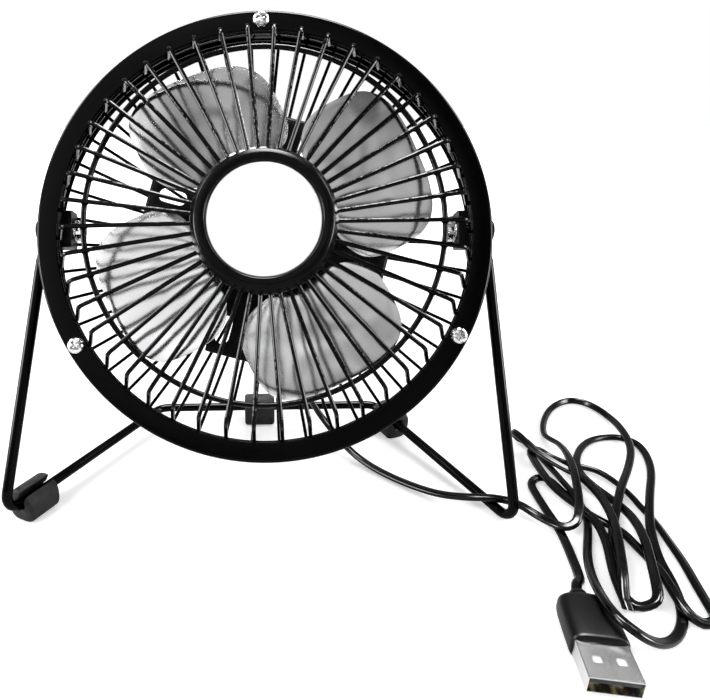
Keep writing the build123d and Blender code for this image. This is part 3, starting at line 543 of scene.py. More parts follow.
stand_ends = [wire_start(-1, stand_corners[0]), wire_start(1, stand_corners[3])]
stand_run = [stand_ends[0], *[Vector(corner) / 1000 for corner in stand_corners], stand_ends[1]]
stand_path = evenly(eased(stand_run, [0.0, *[bend / 1000 for bend in stand_bends], 0.0]), 0.0015)
gloss_black = grained("gloss_black", 0.0003, 0.0009, 90.0, (0.08, 0.16), 600.0, 0.000012, specular=0.06)
stand = piece(
    "stand_rod",
    *joined(
        sweep(stand_path, [round_wire(stand_wire_r)] * len(stand_path)),
        hammered_eye(-1, Vector(stand_corners[0]) / 1000),
        hammered_eye(1, Vector(stand_corners[3]) / 1000),
    ),
)
fit(stand, "stand", gloss_black, "gloss_black", "stand_wire")


# --- Rubber feet ----------------------------------------------------------------------------
# Three short sleeves of dark grey rubber, split along one side so that they snap over the rod.
# The left one sits beside the front bend, the others on the rear bar and on the right bar.
foot_length = 0.0120
foot_r = 5.2
foot_bore_r = 1.75
foot_slot = 2.6
foot_rubber = grained(
    "foot_rubber", 0.010, (0.019, 0.019, 0.020), 260.0, (0.55, 0.78), 2600.0, 0.00002, specular=0.15
)


def split_section(floor_drop, slot_angle, worn):
    """A split sleeve's cross-section: flat underneath, round above, and open at the slot."""
    outer, inner = [], []
    for number in range(57):
        share = number / 56
        for line, radius in ((outer, foot_r - worn), (inner, foot_bore_r + worn * 0.6)):
            lip = math.asin(foot_slot / 2 / radius)
            angle = slot_angle + lip + (2 * math.pi - 2 * lip) * share
            reach = radius
            if line is outer and math.sin(angle) < 0:
                wide = abs(math.cos(angle)) / radius
                deep = abs(math.sin(angle)) / (floor_drop - worn)
                reach = (wide ** 3.4 + deep ** 3.4) ** (-1 / 3.4)
            line.append((reach * math.cos(angle) / 1000, reach * math.sin(angle) / 1000))
    return outer + list(reversed(inner))


def rubber_foot(name, start, end, distance, slot_degrees, node):
    """One foot on the rod between two bends, with its slot at an angle from the outside."""
    start, end = Vector(start) / 1000, Vector(end) / 1000
    along = (end - start).normalized()
    middle = start + along * distance
    outward = Vector((along.y, -along.x, 0.0)).normalized()
    if along.cross(outward).z < 0:
        along = -along
    rims = [(0.0, 0.9), (0.00015, 0.5), (0.0005, 0.2), (0.0010, 0.0)]
    stations = rims + [(foot_length - s, w) for s, w in reversed(rims)]
    path = [middle + along * (s - foot_length / 2) for s, w in stations]
    drop = middle.z * 1000 - 0.05
    outlines = [split_section(drop, math.radians(slot_degrees), w) for s, w in stations]
    verts, faces = sweep(path, outlines, [outward] * len(path))
    foot = piece(name, [(vert.x, vert.y, max(vert.z, 0.00002)) for vert in verts], faces, crisp=50.0)
    fit(foot, "stand", foot_rubber, "grey_rubber", node)


bar_length = (Vector(stand_corners[2]) - Vector(stand_corners[1])).length / 1000
rubber_foot("foot_left", stand_corners[0], stand_corners[1], 0.0120, 62.0, "foot_clip_left")
rubber_foot("foot_rear", stand_corners[1], stand_corners[2], bar_length * 0.46, 180.0, "foot_clip_rear")
rubber_foot("foot_right", stand_corners[2], stand_corners[3], 0.0110, 30.0, "foot_clip_right")


# --- Bezel and hoop -------------------------------------------------------------------------
# The bezel is a pressed steel ring with a rolled outer edge. The hoop behind it is a strip of
# steel bent round and welded, with three lugs for the bezel's screws. Both are gloss black.
rotor_spin = next(joint for joint in frame["joints"] if joint["name"] == "rotor_spin")
wheel_height = 0.0050
forward = Vector(rotor_spin["axis"]).normalized()
sideways = Vector((1.0, 0.0, 0.0))
upward = forward.cross(sideways)
head_middle = Vector(rotor_spin["pos_m"]) - forward * wheel_height
head_place = Matrix.Translation(head_middle) @ Matrix((sideways, upward, forward)).transposed().to_4x4()
bezel_profile = [(59.0, -0.9), (59.0, 0.0), (65.0, 0.0), (65.0, -3.2), (64.1, -3.2), (64.1, -0.9)]
screw_angles = [91.0, 211.0, 332.0]


def turned_out(degrees, out=0.0, height=0.0):
    """A place turned about the Z axis, then moved out and up, in metres."""
    return Matrix.Rotation(math.radians(degrees), 4, "Z") @ Matrix.Translation((out, 0.0, height))


def rounded_block(size, radius, place, steps=3):
    """A block with all its edges rounded."""
    mesh = bmesh.new()
    bmesh.ops.create_cube(mesh, size=1.0)
    for vert in mesh.verts:
        vert.co = Vector([c * s for c, s in zip(vert.co, size)])
    bmesh.ops.bevel(mesh, geom=mesh.edges[:], offset=radius, segments=steps, profile=0.5, affect="EDGES")
    mesh.verts.index_update()
    verts = [place @ vert.co for vert in mesh.verts]
    faces = [tuple(vert.index for vert in face.verts) for face in mesh.faces]
    mesh.free()
    return verts, faces


def mount(name, shape, finish, slot, node):
    """A piece of the head, set in its place, finished, and standing for its plain solid."""
    fit(piece(name, *moved(shape, head_place)), "head", finish, slot, node)


rolled_ring = turned(rounded_profile(bezel_profile, [0.35, 0.5, 1.0, 0.3, 0.3, 0.3]), 240)
mount("bezel", rolled_ring, gloss_black, "gloss_black", "front_bezel")
lug_size = (0.0036, 0.0070, 0.0040)
hoop_lugs = [rounded_block(lug_size, 0.0005, turned_out(angle, 0.0618, -0.0047)) for angle in screw_angles]
hoop_strip = turned_ring(63.2, 64.0, -15.0, -1.2, [0.3] * 4, 3, 240)
mount("hoop", joined(hoop_strip, *hoop_lugs), gloss_black, "gloss_black", "bezel_hoop")


# --- Screws ---------------------------------------------------------------------------------
# Chrome-plated pan heads with a crossed recess: three hold the bezel, two the motor, two the
# housing and two its cover. Each kind is one screw set down on its marks.
def crossed_screw(head_r, height, shank_r, length):
    """A pan-headed screw standing on Z = 0 with its recess up, in millimetres."""
    rings, spokes = 26, 72
    verts, faces = [], []
    for ring in range(1, rings + 1):
        r = head_r * ring / rings
        for x, y in round_wire(r, spokes):
            crown = height * max(1 - (r / head_r) ** 3.2, 0.0) ** 0.5
            slots = []
            for a, b in ((abs(x), abs(y)), (abs(y), abs(x))):
                inside = min(max((head_r * 0.13 - b) / (head_r * 0.04), 0.0), 1.0)
                reach = min(max((head_r * 0.62 - a) / (head_r * 0.22), 0.0), 1.0)
                slots.append(inside * reach)
            verts.append((x, y, crown - max(slots) * height * 0.62))
    verts.append((0.0, 0.0, height * 0.38))
    faces += [(number, (number + 1) % spokes, len(verts) - 1) for number in range(spokes)]
    faces += bands(rings, spokes)
    base = len(verts)
    for r, z in ((shank_r, 0.0), (shank_r, -length + shank_r), (shank_r * 0.3, -length)):
        verts += [(x, y, z) for x, y in round_wire(r, spokes)]
    rims = [(rings - 1) * spokes, base, base + spokes, base + 2 * spokes]
    for first, second in zip(rims, rims[1:]):
        for number in range(spokes):
            there = (number + 1) % spokes
            faces.append((first + number, first + there, second + there, second + number))
    faces.append(tuple(rims[3] + number for number in range(spokes)))
    return [Vector(vert) / 1000 for vert in verts], faces


def shape_tree(name, inputs, output):
    """A shape's node tree with its named inputs, each (name, kind), and its one output."""
    tree = bpy.data.node_groups.new(name, "GeometryNodeTree")
    for label, kind in inputs:
        tree.interface.new_socket(label, in_out="INPUT", socket_type="NodeSocket" + kind)
    tree.interface.new_socket(output, in_out="OUTPUT", socket_type="NodeSocketGeometry")
    return tree, tree.nodes.new("NodeGroupInput"), tree.nodes.new("NodeGroupOutput")


def set_on_marks_tree():
    """Sets one fixing down on each mark, turned as the mark says."""
    tree, marks, done = shape_tree(
        "set_on_marks", [("Marks", "Geometry"), ("Fixing", "Object"), ("Plating", "Material")], "Set"
    )
    fixing = new_node(tree, "GeometryNodeObjectInfo")
    turn = new_node(tree, "GeometryNodeInputNamedAttribute", {"Name": "turn"}, data_type="FLOAT_VECTOR")
    place = new_node(tree, "GeometryNodeInstanceOnPoints")
    real = new_node(tree, "GeometryNodeRealizeInstances")
    plate = new_node(tree, "GeometryNodeSetMaterial")
    wire_up(
        tree, (marks, "Marks", place, "Points"), (marks, "Fixing", fixing, "Object"),
        (fixing, "Geometry", place, "Instance"), (turn, "Attribute", place, "Rotation"),
        (place, "Instances", real, "Geometry"), (real, "Geometry", plate, "Geometry"),
        (marks, "Plating", plate, "Material"), (plate, "Geometry", done, "Set"),
    )
    return tree


def grown(name, start, tree, settings):
    """The plain shape that a node tree makes from a starting mesh."""
    maker = bpy.data.objects.new(name + "_maker", start)
    studio.collection.objects.link(maker)
    modifier = maker.modifiers.new("maker", "NODES")
    modifier.node_group = tree
    for item in tree.interface.items_tree:
        if item.item_type == "SOCKET" and item.in_out == "INPUT" and item.name in settings:
            modifier[item.identifier] = settings[item.name]
    return made_plain(maker)


chrome = grained("chrome", (0.66, 0.66, 0.67), (0.82, 0.82, 0.83), 900.0, (0.05, 0.13), 2600.0, 0.000004, metal=1.0)
screw_tree = set_on_marks_tree()


def screw_set(name, node, size, places):
    """Screws of one kind; each place is (angle, distance from the axis), at one seat and facing."""
    head_r, height, shank_r, length, seat, facing = size
    pattern = piece(name + "_pattern", *crossed_screw(head_r, height, shank_r, length))
    marks = bpy.data.meshes.new(name + "_marks")
    spots = [
        (out * math.cos(math.radians(angle)) / 1000, out * math.sin(math.radians(angle)) / 1000, seat / 1000)
        for angle, out in places
    ]
    marks.from_pydata(spots, [], [])
    turns = marks.attributes.new("turn", "FLOAT_VECTOR", "POINT")
    for number, (angle, out) in enumerate(places):
        turns.data[number].vector = (0.0 if facing > 0 else math.pi, 0.0, math.radians(angle * 7 % 90))
    shape = grown(name, marks, screw_tree, {"Fixing": pattern, "Plating": chrome})
    bpy.data.objects.remove(pattern)
    mount(name, shape, chrome, "chrome_screw", node)


motor_marks = [(29.0, 7.0), (209.0, 7.0)]
housing_marks = [(119.0, 17.6), (299.0, 17.6)]
cover_marks = [(0.0, 17.2), (180.0, 17.2)]
bracket_face = -5.0
housing_back = -39.75
screw_set("ring_screws", "bezel_screws", (2.5, 1.7, 1.3, 6.4, 0.0, 1), [(angle, 62.0) for angle in screw_angles])
screw_set("motor_fixings", "motor_screws", (1.8, 1.2, 0.9, 2.2, bracket_face, 1), motor_marks)
screw_set("housing_fixings", "housing_screws", (2.1, 1.4, 1.1, 18.7, bracket_face, 1), housing_marks)
screw_set("cover_fixings", "cover_screws", (1.8, 1.2, 0.9, 4.0, housing_back, -1), cover_marks)


# --- Tilt hinge -----------------------------------------------------------------------------
# At each side a black domed bolt goes through the stand's eyelet, a zinc spacer, the hoop and
# a block pressed against it, and a chrome nut on a lock washer pinches the stack.
hinge_height = 0.0030
hinge_depth = -0.0105


def hinge_place(side):
    """A frame on the tilt axis whose Z points out at that side."""
    on_axis = Matrix.Translation((0.0, hinge_height, hinge_depth))
    return head_place @ on_axis @ Matrix.Rotation(side * math.pi / 2, 4, "Y")


def hex_nut(flats, bore, low, high):
    """A six-sided nut with both faces turned to a chamfer, in millimetres."""
    corner = flats / 2 / math.cos(math.pi / 6)
    chamfer = flats / 2 * 0.93
    rows = [(bore, low), (chamfer, low), (None, low + 0.35), (None, high - 0.35), (chamfer, high), (bore, high)]
    verts, count = [], 48
    for number in range(count):
        angle = 2 * math.pi * number / count
        flat = flats / 2 / math.cos((angle + math.pi / 6) % (math.pi / 3) - math.pi / 6)
        for r, h in rows:
            r = min(flat, corner) if r is None else r
            verts.append((r * math.cos(angle) / 1000, r * math.sin(angle) / 1000, h / 1000))
    return verts, bands(count, len(rows), closed=True)


bolt_profile = [(0.01, 54.0), (1.5, 54.0), (1.5, 67.2), (3.2, 67.2), (3.2, 68.0), (0.01, 69.2)]
bolt_shape = turned(rounded_profile(bolt_profile, [0, 0.3, 0.1, 0.25, 1.2, 0]), 48)
spacer_shape = turned_ring(1.55, 3.8, 64.0, 64.8, [0.1, 0.2, 0.2, 0.1], 3)
washer_shape = turned_ring(1.55, 3.2, 56.5, 57.1, [0.1, 0.15, 0.15, 0.1], 3)
nut_shape = hex_nut(5.5, 1.5, 54.1, 56.5)
zinc = grained("zinc", (0.42, 0.42, 0.43), (0.56, 0.56, 0.58), 500.0, (0.28, 0.48), 3200.0, 0.00002, metal=1.0)
block_black = grained("block_black", 0.003, 0.007, 300.0, (0.26, 0.42), 2400.0, 0.00001, specular=0.15)


def both_sides(shape):
    """The same stack piece at the left and at the right."""
    return joined(moved(shape, hinge_place(-1)), moved(shape, hinge_place(1)))


fit(piece("tilt_bolts", *both_sides(bolt_shape)), "head", gloss_black, "gloss_black", "hinge_bolts")
fit(piece("tilt_spacers", *both_sides(spacer_shape)), "head", zinc, "zinc_steel", "hinge_spacers")
fit(piece("tilt_lock_washers", *both_sides(washer_shape)), "head", chrome, "chrome_screw", "hinge_lock_washers")
fit(piece("tilt_nuts", *both_sides(nut_shape)), "head", chrome, "chrome_screw", "hinge_nuts")


def paint_solid(finish, *nodes):
    """A plain solid whose shape is right takes a finish of its own."""
    for node in nodes:
        solid = frame["nodes"][node]
        solid.data.materials.clear()
        solid.data.materials.append(finish)


paint_solid(block_black, "hinge_blocks")


# --- Front grille ---------------------------------------------------------------------------
# Forty-six steel wires run out from a plate under the cap, bend back near the bezel and are
# spot-welded to a foot ring behind it and to a middle ring. The whole basket is dipped black.
wire_count = 46


def wire_basket_tree():
    """One bent wire repeated about the axis, with two welded rings and a bead at each weld."""
    sizes = (
        "First Wire", "Wire Radius", "Bend Radius", "Weld Radius",
        "Outer Ring", "Outer Height", "Outer Gauge", "Inner Ring", "Inner Height", "Inner Gauge",
    )
    inputs = [("Centreline", "Geometry"), ("Wires", "Int"), *[(size, "Float") for size in sizes], ("Paint", "Material")]
    tree, given, done = shape_tree("wire_basket", inputs, "Basket")

    def place_at(height, radius=None):
        """A place on the X axis at the given named height."""
        spot = new_node(tree, "ShaderNodeCombineXYZ")
        wire_up(tree, (given, height, spot, "Z"))
        if radius is not None:
            wire_up(tree, (given, radius, spot, "X"))
        return spot

    def tube_round(line, gauge, sides):
        """A line made a round wire of the given named gauge."""
        section = new_node(tree, "GeometryNodeCurvePrimitiveCircle", {"Resolution": sides})
        tube = new_node(tree, "GeometryNodeCurveToMesh", {"Fill Caps": True})
        wire_up(
            tree, (given, gauge, section, "Radius"), (line, "Curve", tube, "Curve"),
            (section, "Curve", tube, "Profile Curve"),
        )
        return tube

    def ring(side):
        """The outer or inner ring."""
        circle = new_node(tree, "GeometryNodeCurvePrimitiveCircle", {"Resolution": 184})
        lifted = new_node(tree, "GeometryNodeTransform")
        wire_up(
            tree, (given, side + " Ring", circle, "Radius"),
            (tube_round(circle, side + " Gauge", 12), "Mesh", lifted, "Geometry"),
            (place_at(side + " Height"), 0, lifted, "Translation"),
        )
        return lifted

    def bead(side):
        """The weld where a wire meets that ring."""
        drop = new_node(tree, "GeometryNodeMeshIcoSphere", {"Subdivisions": 2})
        set_down = new_node(tree, "GeometryNodeTransform", {"Scale": (1.25, 0.85, 1.0)})
        wire_up(
            tree, (given, "Weld Radius", drop, "Radius"), (drop, "Mesh", set_down, "Geometry"),
            (place_at(side + " Height", side + " Ring"), 0, set_down, "Translation"),
        )
        return set_down

    line = new_node(tree, "GeometryNodeMeshToCurve")
    bend = new_node(tree, "GeometryNodeFilletCurve", {"Count": 6, "Limit Radius": True}, mode="POLY")
    one_wire = new_node(tree, "GeometryNodeJoinGeometry")
    hub = new_node(tree, "GeometryNodePoints")
    number = new_node(tree, "GeometryNodeInputIndex")
    share = new_node(tree, "ShaderNodeMath", operation="DIVIDE")
    turn = new_node(tree, "ShaderNodeMath", {1: 2 * math.pi}, operation="MULTIPLY_ADD")
    about = new_node(tree, "ShaderNodeCombineXYZ")
    fan_out = new_node(tree, "GeometryNodeInstanceOnPoints")
    basket = new_node(tree, "GeometryNodeJoinGeometry")
    real = new_node(tree, "GeometryNodeRealizeInstances")
    paint = new_node(tree, "GeometryNodeSetMaterial")
    wire_up(
        tree, (given, "Centreline", line, "Mesh"), (line, "Curve", bend, "Curve"),
        (given, "Bend Radius", bend, "Radius"), (tube_round(bend, "Wire Radius", 10), "Mesh", one_wire, 0),
        (bead("Outer"), "Geometry", one_wire, 0), (bead("Inner"), "Geometry", one_wire, 0),
        (given, "Wires", hub, "Count"), (number, "Index", share, 0), (given, "Wires", share, 1),
        (share, 0, turn, 0), (given, "First Wire", turn, 2), (turn, 0, about, "Z"),
        (hub, "Points", fan_out, "Points"), (one_wire, 0, fan_out, "Instance"), (about, 0, fan_out, "Rotation"),
        (fan_out, "Instances", basket, 0), (ring("Outer"), "Geometry", basket, 0),
        (ring("Inner"), "Geometry", basket, 0), (basket, 0, real, "Geometry"), (real, "Geometry", paint, "Geometry"),
        (given, "Paint", paint, "Material"), (paint, "Geometry", done, "Basket"),
    )
    return tree


def centreline(name, places):
    """A wire's bend points as a bare line, in metres."""
    mesh = bpy.data.meshes.new(name)
    points = [(x / 1000, y / 1000, z / 1000) for x, y, z in places]
    mesh.from_pydata(points, [(number, number + 1) for number in range(len(points) - 1)], [])
    return mesh


dipped_black = grained("dipped_black", 0.0003, 0.0009, 90.0, (0.07, 0.14), 420.0, 0.00016, specular=0.08)
basket_tree = wire_basket_tree()
front_wires = grown(
    "front_wires",
    centreline("front_wire", [(13.0, 0.0, 12.9), (33.0, 0.0, 12.65), (53.7, 0.0, 12.1), (58.7, 0.0, -1.8)]),
    basket_tree,
    {
        "Wires": wire_count, "First Wire": math.radians(94.913), "Wire Radius": 0.0006, "Bend Radius": 0.0025,
        "Weld Radius": 0.00095, "Outer Ring": 0.0596, "Outer Height": -0.0018, "Outer Gauge": 0.0008,
        "Inner Ring": 0.0482, "Inner Height": 0.0110, "Inner Gauge": 0.00075, "Paint": dipped_black,
    },
)
hub_plate = turned_ring(0.01, 18.0, 11.5, 12.5, [0, 0.3, 0.3, 0], steps=96)
mount("front_basket", joined(front_wires, hub_plate), dipped_black, "gloss_black", "front_grille")


# --- Cap and badge --------------------------------------------------------------------------
# A moulded black ring with a soft crown, pegged to the grille's plate. A bare white disc of
# printed plastic is pressed into its recess.
cap_profile = [
    (0.01, 13.6), (18.8, 13.6), (19.4, 14.2), (19.4, 15.2), (18.2, 17.0), (17.0, 17.5), (15.5, 17.3),
    (15.02, 16.4), (15.02, 15.6), (0.01, 15.6),
]
cap_radii = [0, 0.3, 0.4, 0.6, 1.2, 1.2, 0.5, 0.1, 0.05, 0]
cap_plastic = grained("cap_plastic", 0.0005, 0.0014, 200.0, (0.16, 0.26), 1600.0, 0.000004, specular=0.08)
badge_white = grained("badge_white", 0.90, 0.94, 60.0, (0.25, 0.36), 3000.0, 0.000004, specular=0.4)
peg_shape = turned_ring(0.01, 1.5, 10.5, 14.0, [0, 0.4, 0, 0], steps=24)
pegs = [moved(peg_shape, turned_out(120 * peg, 0.009)) for peg in range(3)]
cap_ring = turned(rounded_profile(cap_profile, cap_radii, 8), 192)
mount("cap", joined(cap_ring, *pegs), cap_plastic, "cap_black", "grille_cap")
badge_disc = turned_ring(0.01, 15.0, 15.62, 16.4, [0, 0.1, 0.25, 0], steps=192)
mount("badge", badge_disc, badge_white, "badge_white", "cap_badge")


# --- Rear grille ----------------------------------------------------------------------------
# As many thinner wires lie flat behind the blades, each a few degrees off the radius, welded
# to a ring inside the hoop and to a ring round the motor housing.
skew = math.radians(3.0)
rear_wires = grown(
    "rear_wires",
    centreline("rear_wire", [(62.5, 0.0, -14.45), (22.5 * math.cos(skew), 22.5 * math.sin(skew), -14.45)]),
    basket_tree,
    {
        "Wires": wire_count, "First Wire": math.radians(94.0), "Wire Radius": 0.0005, "Bend Radius": 0.0,
        "Weld Radius": 0.0007, "Outer Ring": 0.0625, "Outer Height": -0.0138, "Outer Gauge": 0.0006,
        "Inner Ring": 0.0225, "Inner Height": -0.01445, "Inner Gauge": 0.0008, "Paint": dipped_black,
    },
)
mount("rear_basket", rear_wires, dipped_black, "gloss_black", "rear_grille")


# --- Motor bracket --------------------------------------------------------------------------
# A cross of pressed steel sheet with two long slots in each arm. The ends of the arms are
# bent back and welded to the rear grille; the motor hangs from the middle.
bracket_r = 21.0
bracket_turn = 75.0
arm_half = 8.5
arm_end = 36.5
bracket_sheet = 1.2
bracket_low = -6.2
foot_drop = 7.6


def pressed_sheet(name, outline, holes, thickness):
    """Flat sheet with the given outline and holes, its sheared edges slightly rounded."""
    data = bpy.data.curves.new(name, "CURVE")
    data.dimensions = "2D"
    data.fill_mode = "BOTH"
    data.extrude = thickness / 2 - 0.00012
    data.bevel_depth = 0.00012
    data.bevel_resolution = 1
    data.offset = -0.00012
    for loop in [outline, *holes]:
        spline = data.splines.new("POLY")
        spline.points.add(len(loop) - 1)
        for point, place in zip(spline.points, loop):
            point.co = (place[0] / 1000, place[1] / 1000, 0.0, 1.0)
        spline.use_cyclic_u = True
    holder = bpy.data.objects.new(name, data)
    studio.collection.objects.link(holder)
    return made_plain(holder)


def bracket_outline():
    """The four arms with the round middle between them."""
    waist = math.degrees(math.asin(arm_half / bracket_r))
    root = bracket_r * math.cos(math.radians(waist))
    corners, radii = [], []
    for arm in range(4):
        place = turned_out(bracket_turn + 90 * arm)
        tip = arm_end - 1.4
        for x, y in ((root, -arm_half), (tip, -arm_half), (tip, arm_half), (root, arm_half)):
            corners.append(place @ Vector((x, y, 0.0)))
            radii.append(1.5 if x == root else 0.4)
        for step in range(1, 8):
            angle = math.radians(bracket_turn + 90 * arm + waist + (90 - 2 * waist) * step / 8)
            corners.append(Vector((bracket_r * math.cos(angle), bracket_r * math.sin(angle), 0.0)))
            radii.append(0.0)
    return eased(corners, radii, closed=True, steps=5)


def arm_slots():
    """Two long slots with round ends in each arm."""
    slots = []
    for arm in range(4):
        for side in (-1, 1):
            place = turned_out(bracket_turn + 90 * arm)
            low, high = side * 4.6 - 2.1, side * 4.6 + 2.1
            box = [(25.0, low, 0.0), (33.4, low, 0.0), (33.4, high, 0.0), (25.0, high, 0.0)]
            slots.append([place @ point for point in eased(box, [2.05] * 4, closed=True, steps=6)])
    return slots


def bent_foot(arm):
    """The arm's end, bent back through a right angle."""
    middle = bracket_low + bracket_sheet / 2
    line = eased(
        [(arm_end - 2.0, 0.0, middle), (arm_end - 0.6, 0.0, middle), (arm_end - 0.6, 0.0, bracket_low - foot_drop)],
        [0.0, 0.95, 0.0], steps=6,
    )
    half, thick = arm_half - 0.15, bracket_sheet / 2
    outline = rounded_profile([(-half, -thick), (half, -thick), (half, thick), (-half, thick)], [0.15] * 4, 2)
    path = [point / 1000 for point in line]
    shape = sweep(path, [outline] * len(path), [Vector((0.0, 1.0, 0.0))] * len(path))
    return moved(shape, turned_out(bracket_turn + 90 * arm))


def drilled(angle, out, radius):
    """A round hole at an angle and a distance from the axis."""
    x, y = out * math.cos(math.radians(angle)), out * math.sin(math.radians(angle))
    return [(x + across, y + up) for across, up in round_wire(radius, 24)]


bracket_holes = arm_slots() + [drilled(0.0, 0.0, 3.0)]
bracket_holes += [drilled(*mark, 1.0) for mark in motor_marks] + [drilled(*mark, 1.2) for mark in housing_marks]
bracket_plate = pressed_sheet("bracket", bracket_outline(), bracket_holes, bracket_sheet / 1000)
bracket_black = grained("bracket_black", 0.0015, 0.0035, 150.0, (0.30, 0.45), 1500.0, 0.00001, specular=0.08)
bracket_seat = Matrix.Translation((0.0, 0.0, (bracket_low + bracket_sheet / 2) / 1000))
bracket_shape = joined(moved(bracket_plate, bracket_seat), *[bent_foot(arm) for arm in range(4)])
mount("bracket_cross", bracket_shape, bracket_black, "bracket_black", "motor_bracket")


# --- Blade wheel ----------------------------------------------------------------------------
# Four broad blades stamped from one sheet of soft aluminium, twisted and slightly cupped at
# the press. The sheet keeps the fine brushing of the coil it came from.
blade_root = 17.0
blade_tip = 47.4
blade_half_width = 21.9
blade_pitch = 14.0
blade_first = 27.5
blade_sheet = 0.62


def brushed_sheet():
    """Bright aluminium, brushed along the coil and slightly wavy from the press."""
    material, tree, shader = shader_of("brushed_sheet", {"Metallic": 1.0, "Anisotropic": 0.4})
    laid_flat = new_node(tree, "ShaderNodeUVMap", uv_map="sheet")
    along = new_node(tree, "ShaderNodeMapping", {"Scale": (90.0, 2600.0, 1.0), "Rotation": (0.0, 0.0, 0.6)})
    brush = new_node(tree, "ShaderNodeTexNoise", {"Scale": 1.0, "Detail": 3.0})
    drift = new_node(tree, "ShaderNodeTexNoise", {"Scale": 70.0, "Detail": 0.5, "Distortion": 0.6})
    tint = colour_ramp(tree, (0.30, (0.56, 0.56, 0.57)), (0.70, 0.68))
    gloss = new_node(tree, "ShaderNodeMapRange", {"From Min": 0.3, "From Max": 0.7, "To Min": 0.13, "To Max": 0.18})
    bump = new_node(tree, "ShaderNodeBump", {"Distance": 0.0000016})
    ripple = new_node(tree, "ShaderNodeBump", {"Distance": 0.0007})
    wire_up(
        tree, (laid_flat, "UV", along, "Vector"), (along, 0, brush, "Vector"), (laid_flat, "UV", drift, "Vector"),
        (drift, "Fac", tint, "Fac"), (tint, "Color", shader, "Base Color"), (brush, "Fac", gloss, "Value"),
        (gloss, 0, shader, "Roughness"), (drift, "Fac", ripple, "Height"), (ripple, 0, bump, "Normal"),
        (brush, "Fac", bump, "Height"), (bump, 0, shader, "Normal"),
    )
    return material


def petal_point(angle, share):
    """A flat point of a blade: out from its middle towards its rounded-square edge."""
    length, width = (blade_tip - blade_root) / 2, blade_half_width
    c, s = math.cos(angle), math.sin(angle)
    x = length * math.copysign(abs(c) ** 0.66, c) * share
    y = width * math.copysign(abs(s) ** 0.66, s) * share
    return (blade_root + blade_tip) / 2 + x, y


def pressed_point(x, y, lift):
    """The same point after the press: cupped across, and pitched less towards the tip."""
    cup = 1.1 * (1 - (y / blade_half_width) ** 2) - 0.5
    ease = (x - blade_root) / (blade_tip - blade_root)
    pitch = math.radians(blade_pitch + 1.5 - 3.0 * min(max(ease, 0.0), 1.0))
    cup *= min(max((x - 10.0) / 9.0, 0.0), 1.0)
    z = cup + lift
    return Vector((x, y * math.cos(pitch) - z * math.sin(pitch), y * math.sin(pitch) + z * math.cos(pitch)))


def blade_place(number):
    """Where a blade stands on the wheel."""
    return turned_out(blade_first + 90 * number, height=wheel_height)


def blade(number):
    """One blade with both its faces and its edge, and where each point lay in the flat sheet."""
    rings, steps = 12, 112
    verts, flat, faces = [], [], []
    for lift in (-blade_sheet / 2, blade_sheet / 2):
        x, y = petal_point(0.0, 0.0)
        verts.append(pressed_point(x, y, lift))
        flat.append((x, y))
        for ring in range(1, rings + 1):
            share = 1 - (1 - ring / rings) ** 1.3
            for step in range(steps):
                x, y = petal_point(2 * math.pi * step / steps, share)
                verts.append(pressed_point(x, y, lift * (0.75 if ring == rings else 1.0)))
                flat.append((x, y))
    size = 1 + rings * steps
    for base in (0, size):
        faces += [(base, base + 1 + step, base + 1 + (step + 1) % steps) for step in range(steps)]
        faces += bands(rings, steps, base + 1)
    rim = 1 + (rings - 1) * steps
    for step in range(steps):
        there = (step + 1) % steps
        faces.append((rim + step, rim + there, size + rim + there, size + rim + step))
    return [blade_place(number) @ (vert / 1000) for vert in verts], flat, faces


def neck(number):
    """The narrow strip that twists from the flat hub disc up into a blade."""
    half, thick = 7.5, blade_sheet / 2
    verts, flat = [], []
    for step in range(9):
        share = step / 8
        x = 9.0 + 11.0 * share
        pitch = math.radians((blade_pitch + 1.2) * share * share * (3 - 2 * share))
        c, s = math.cos(pitch), math.sin(pitch)
        for y, z in ((-half, -thick), (half, -thick), (half, thick), (-half, thick)):
            verts.append(Vector((x, y * c - z * s, y * s + z * c)))
            flat.append((x, y))
    faces = bands(9, 4) + [(3, 2, 1, 0), (32, 33, 34, 35)]
    return [blade_place(number) @ (vert / 1000) for vert in verts], flat, faces


def stamped_wheel():
    """The flat hub disc with its four necks and blades, cut from one sheet."""
    disc_profile = [(1.0, 4.67), (10.0, 4.67), (12.2, 4.67), (12.2, 5.33), (10.0, 5.33), (1.0, 5.33)]
    verts, faces = turned(rounded_profile(disc_profile, [0, 0, 0.2, 0.2, 0, 0], 3), 72)
    verts = [Vector(vert) for vert in verts]
    flat = [(vert.x * 1000, vert.y * 1000) for vert in verts]
    for number in range(4):
        for more_verts, more_flat, more_faces in (neck(number), blade(number)):
            faces += [tuple(n + len(verts) for n in face) for face in more_faces]
            verts += more_verts
            flat += more_flat
    return verts, flat, faces


wheel_verts, wheel_flat, wheel_faces = stamped_wheel()
wheel_mesh = bpy.data.meshes.new("blades")
wheel_mesh.from_pydata([tuple(vert) for vert in wheel_verts], [], wheel_faces)
sheet_map = wheel_mesh.uv_layers.new(name="sheet")
for loop in wheel_mesh.loops:
    x, y = wheel_flat[loop.vertex_index]
    sheet_map.data[loop.index].uv = (x / 1000, y / 1000)
wheel_mesh.transform(head_place)
fit(finished("blades", wheel_mesh, weld=0.0), "rotor", brushed_sheet(), "blade_aluminium", "blade_wheel")
turned_aluminium = grained(
    "turned_aluminium", (0.52, 0.52, 0.53), (0.66, 0.66, 0.67), 400.0, (0.22, 0.38), 3000.0, 0.00001, metal=1.0
)
paint_solid(turned_aluminium, "blade_hub", "blade_retainer")


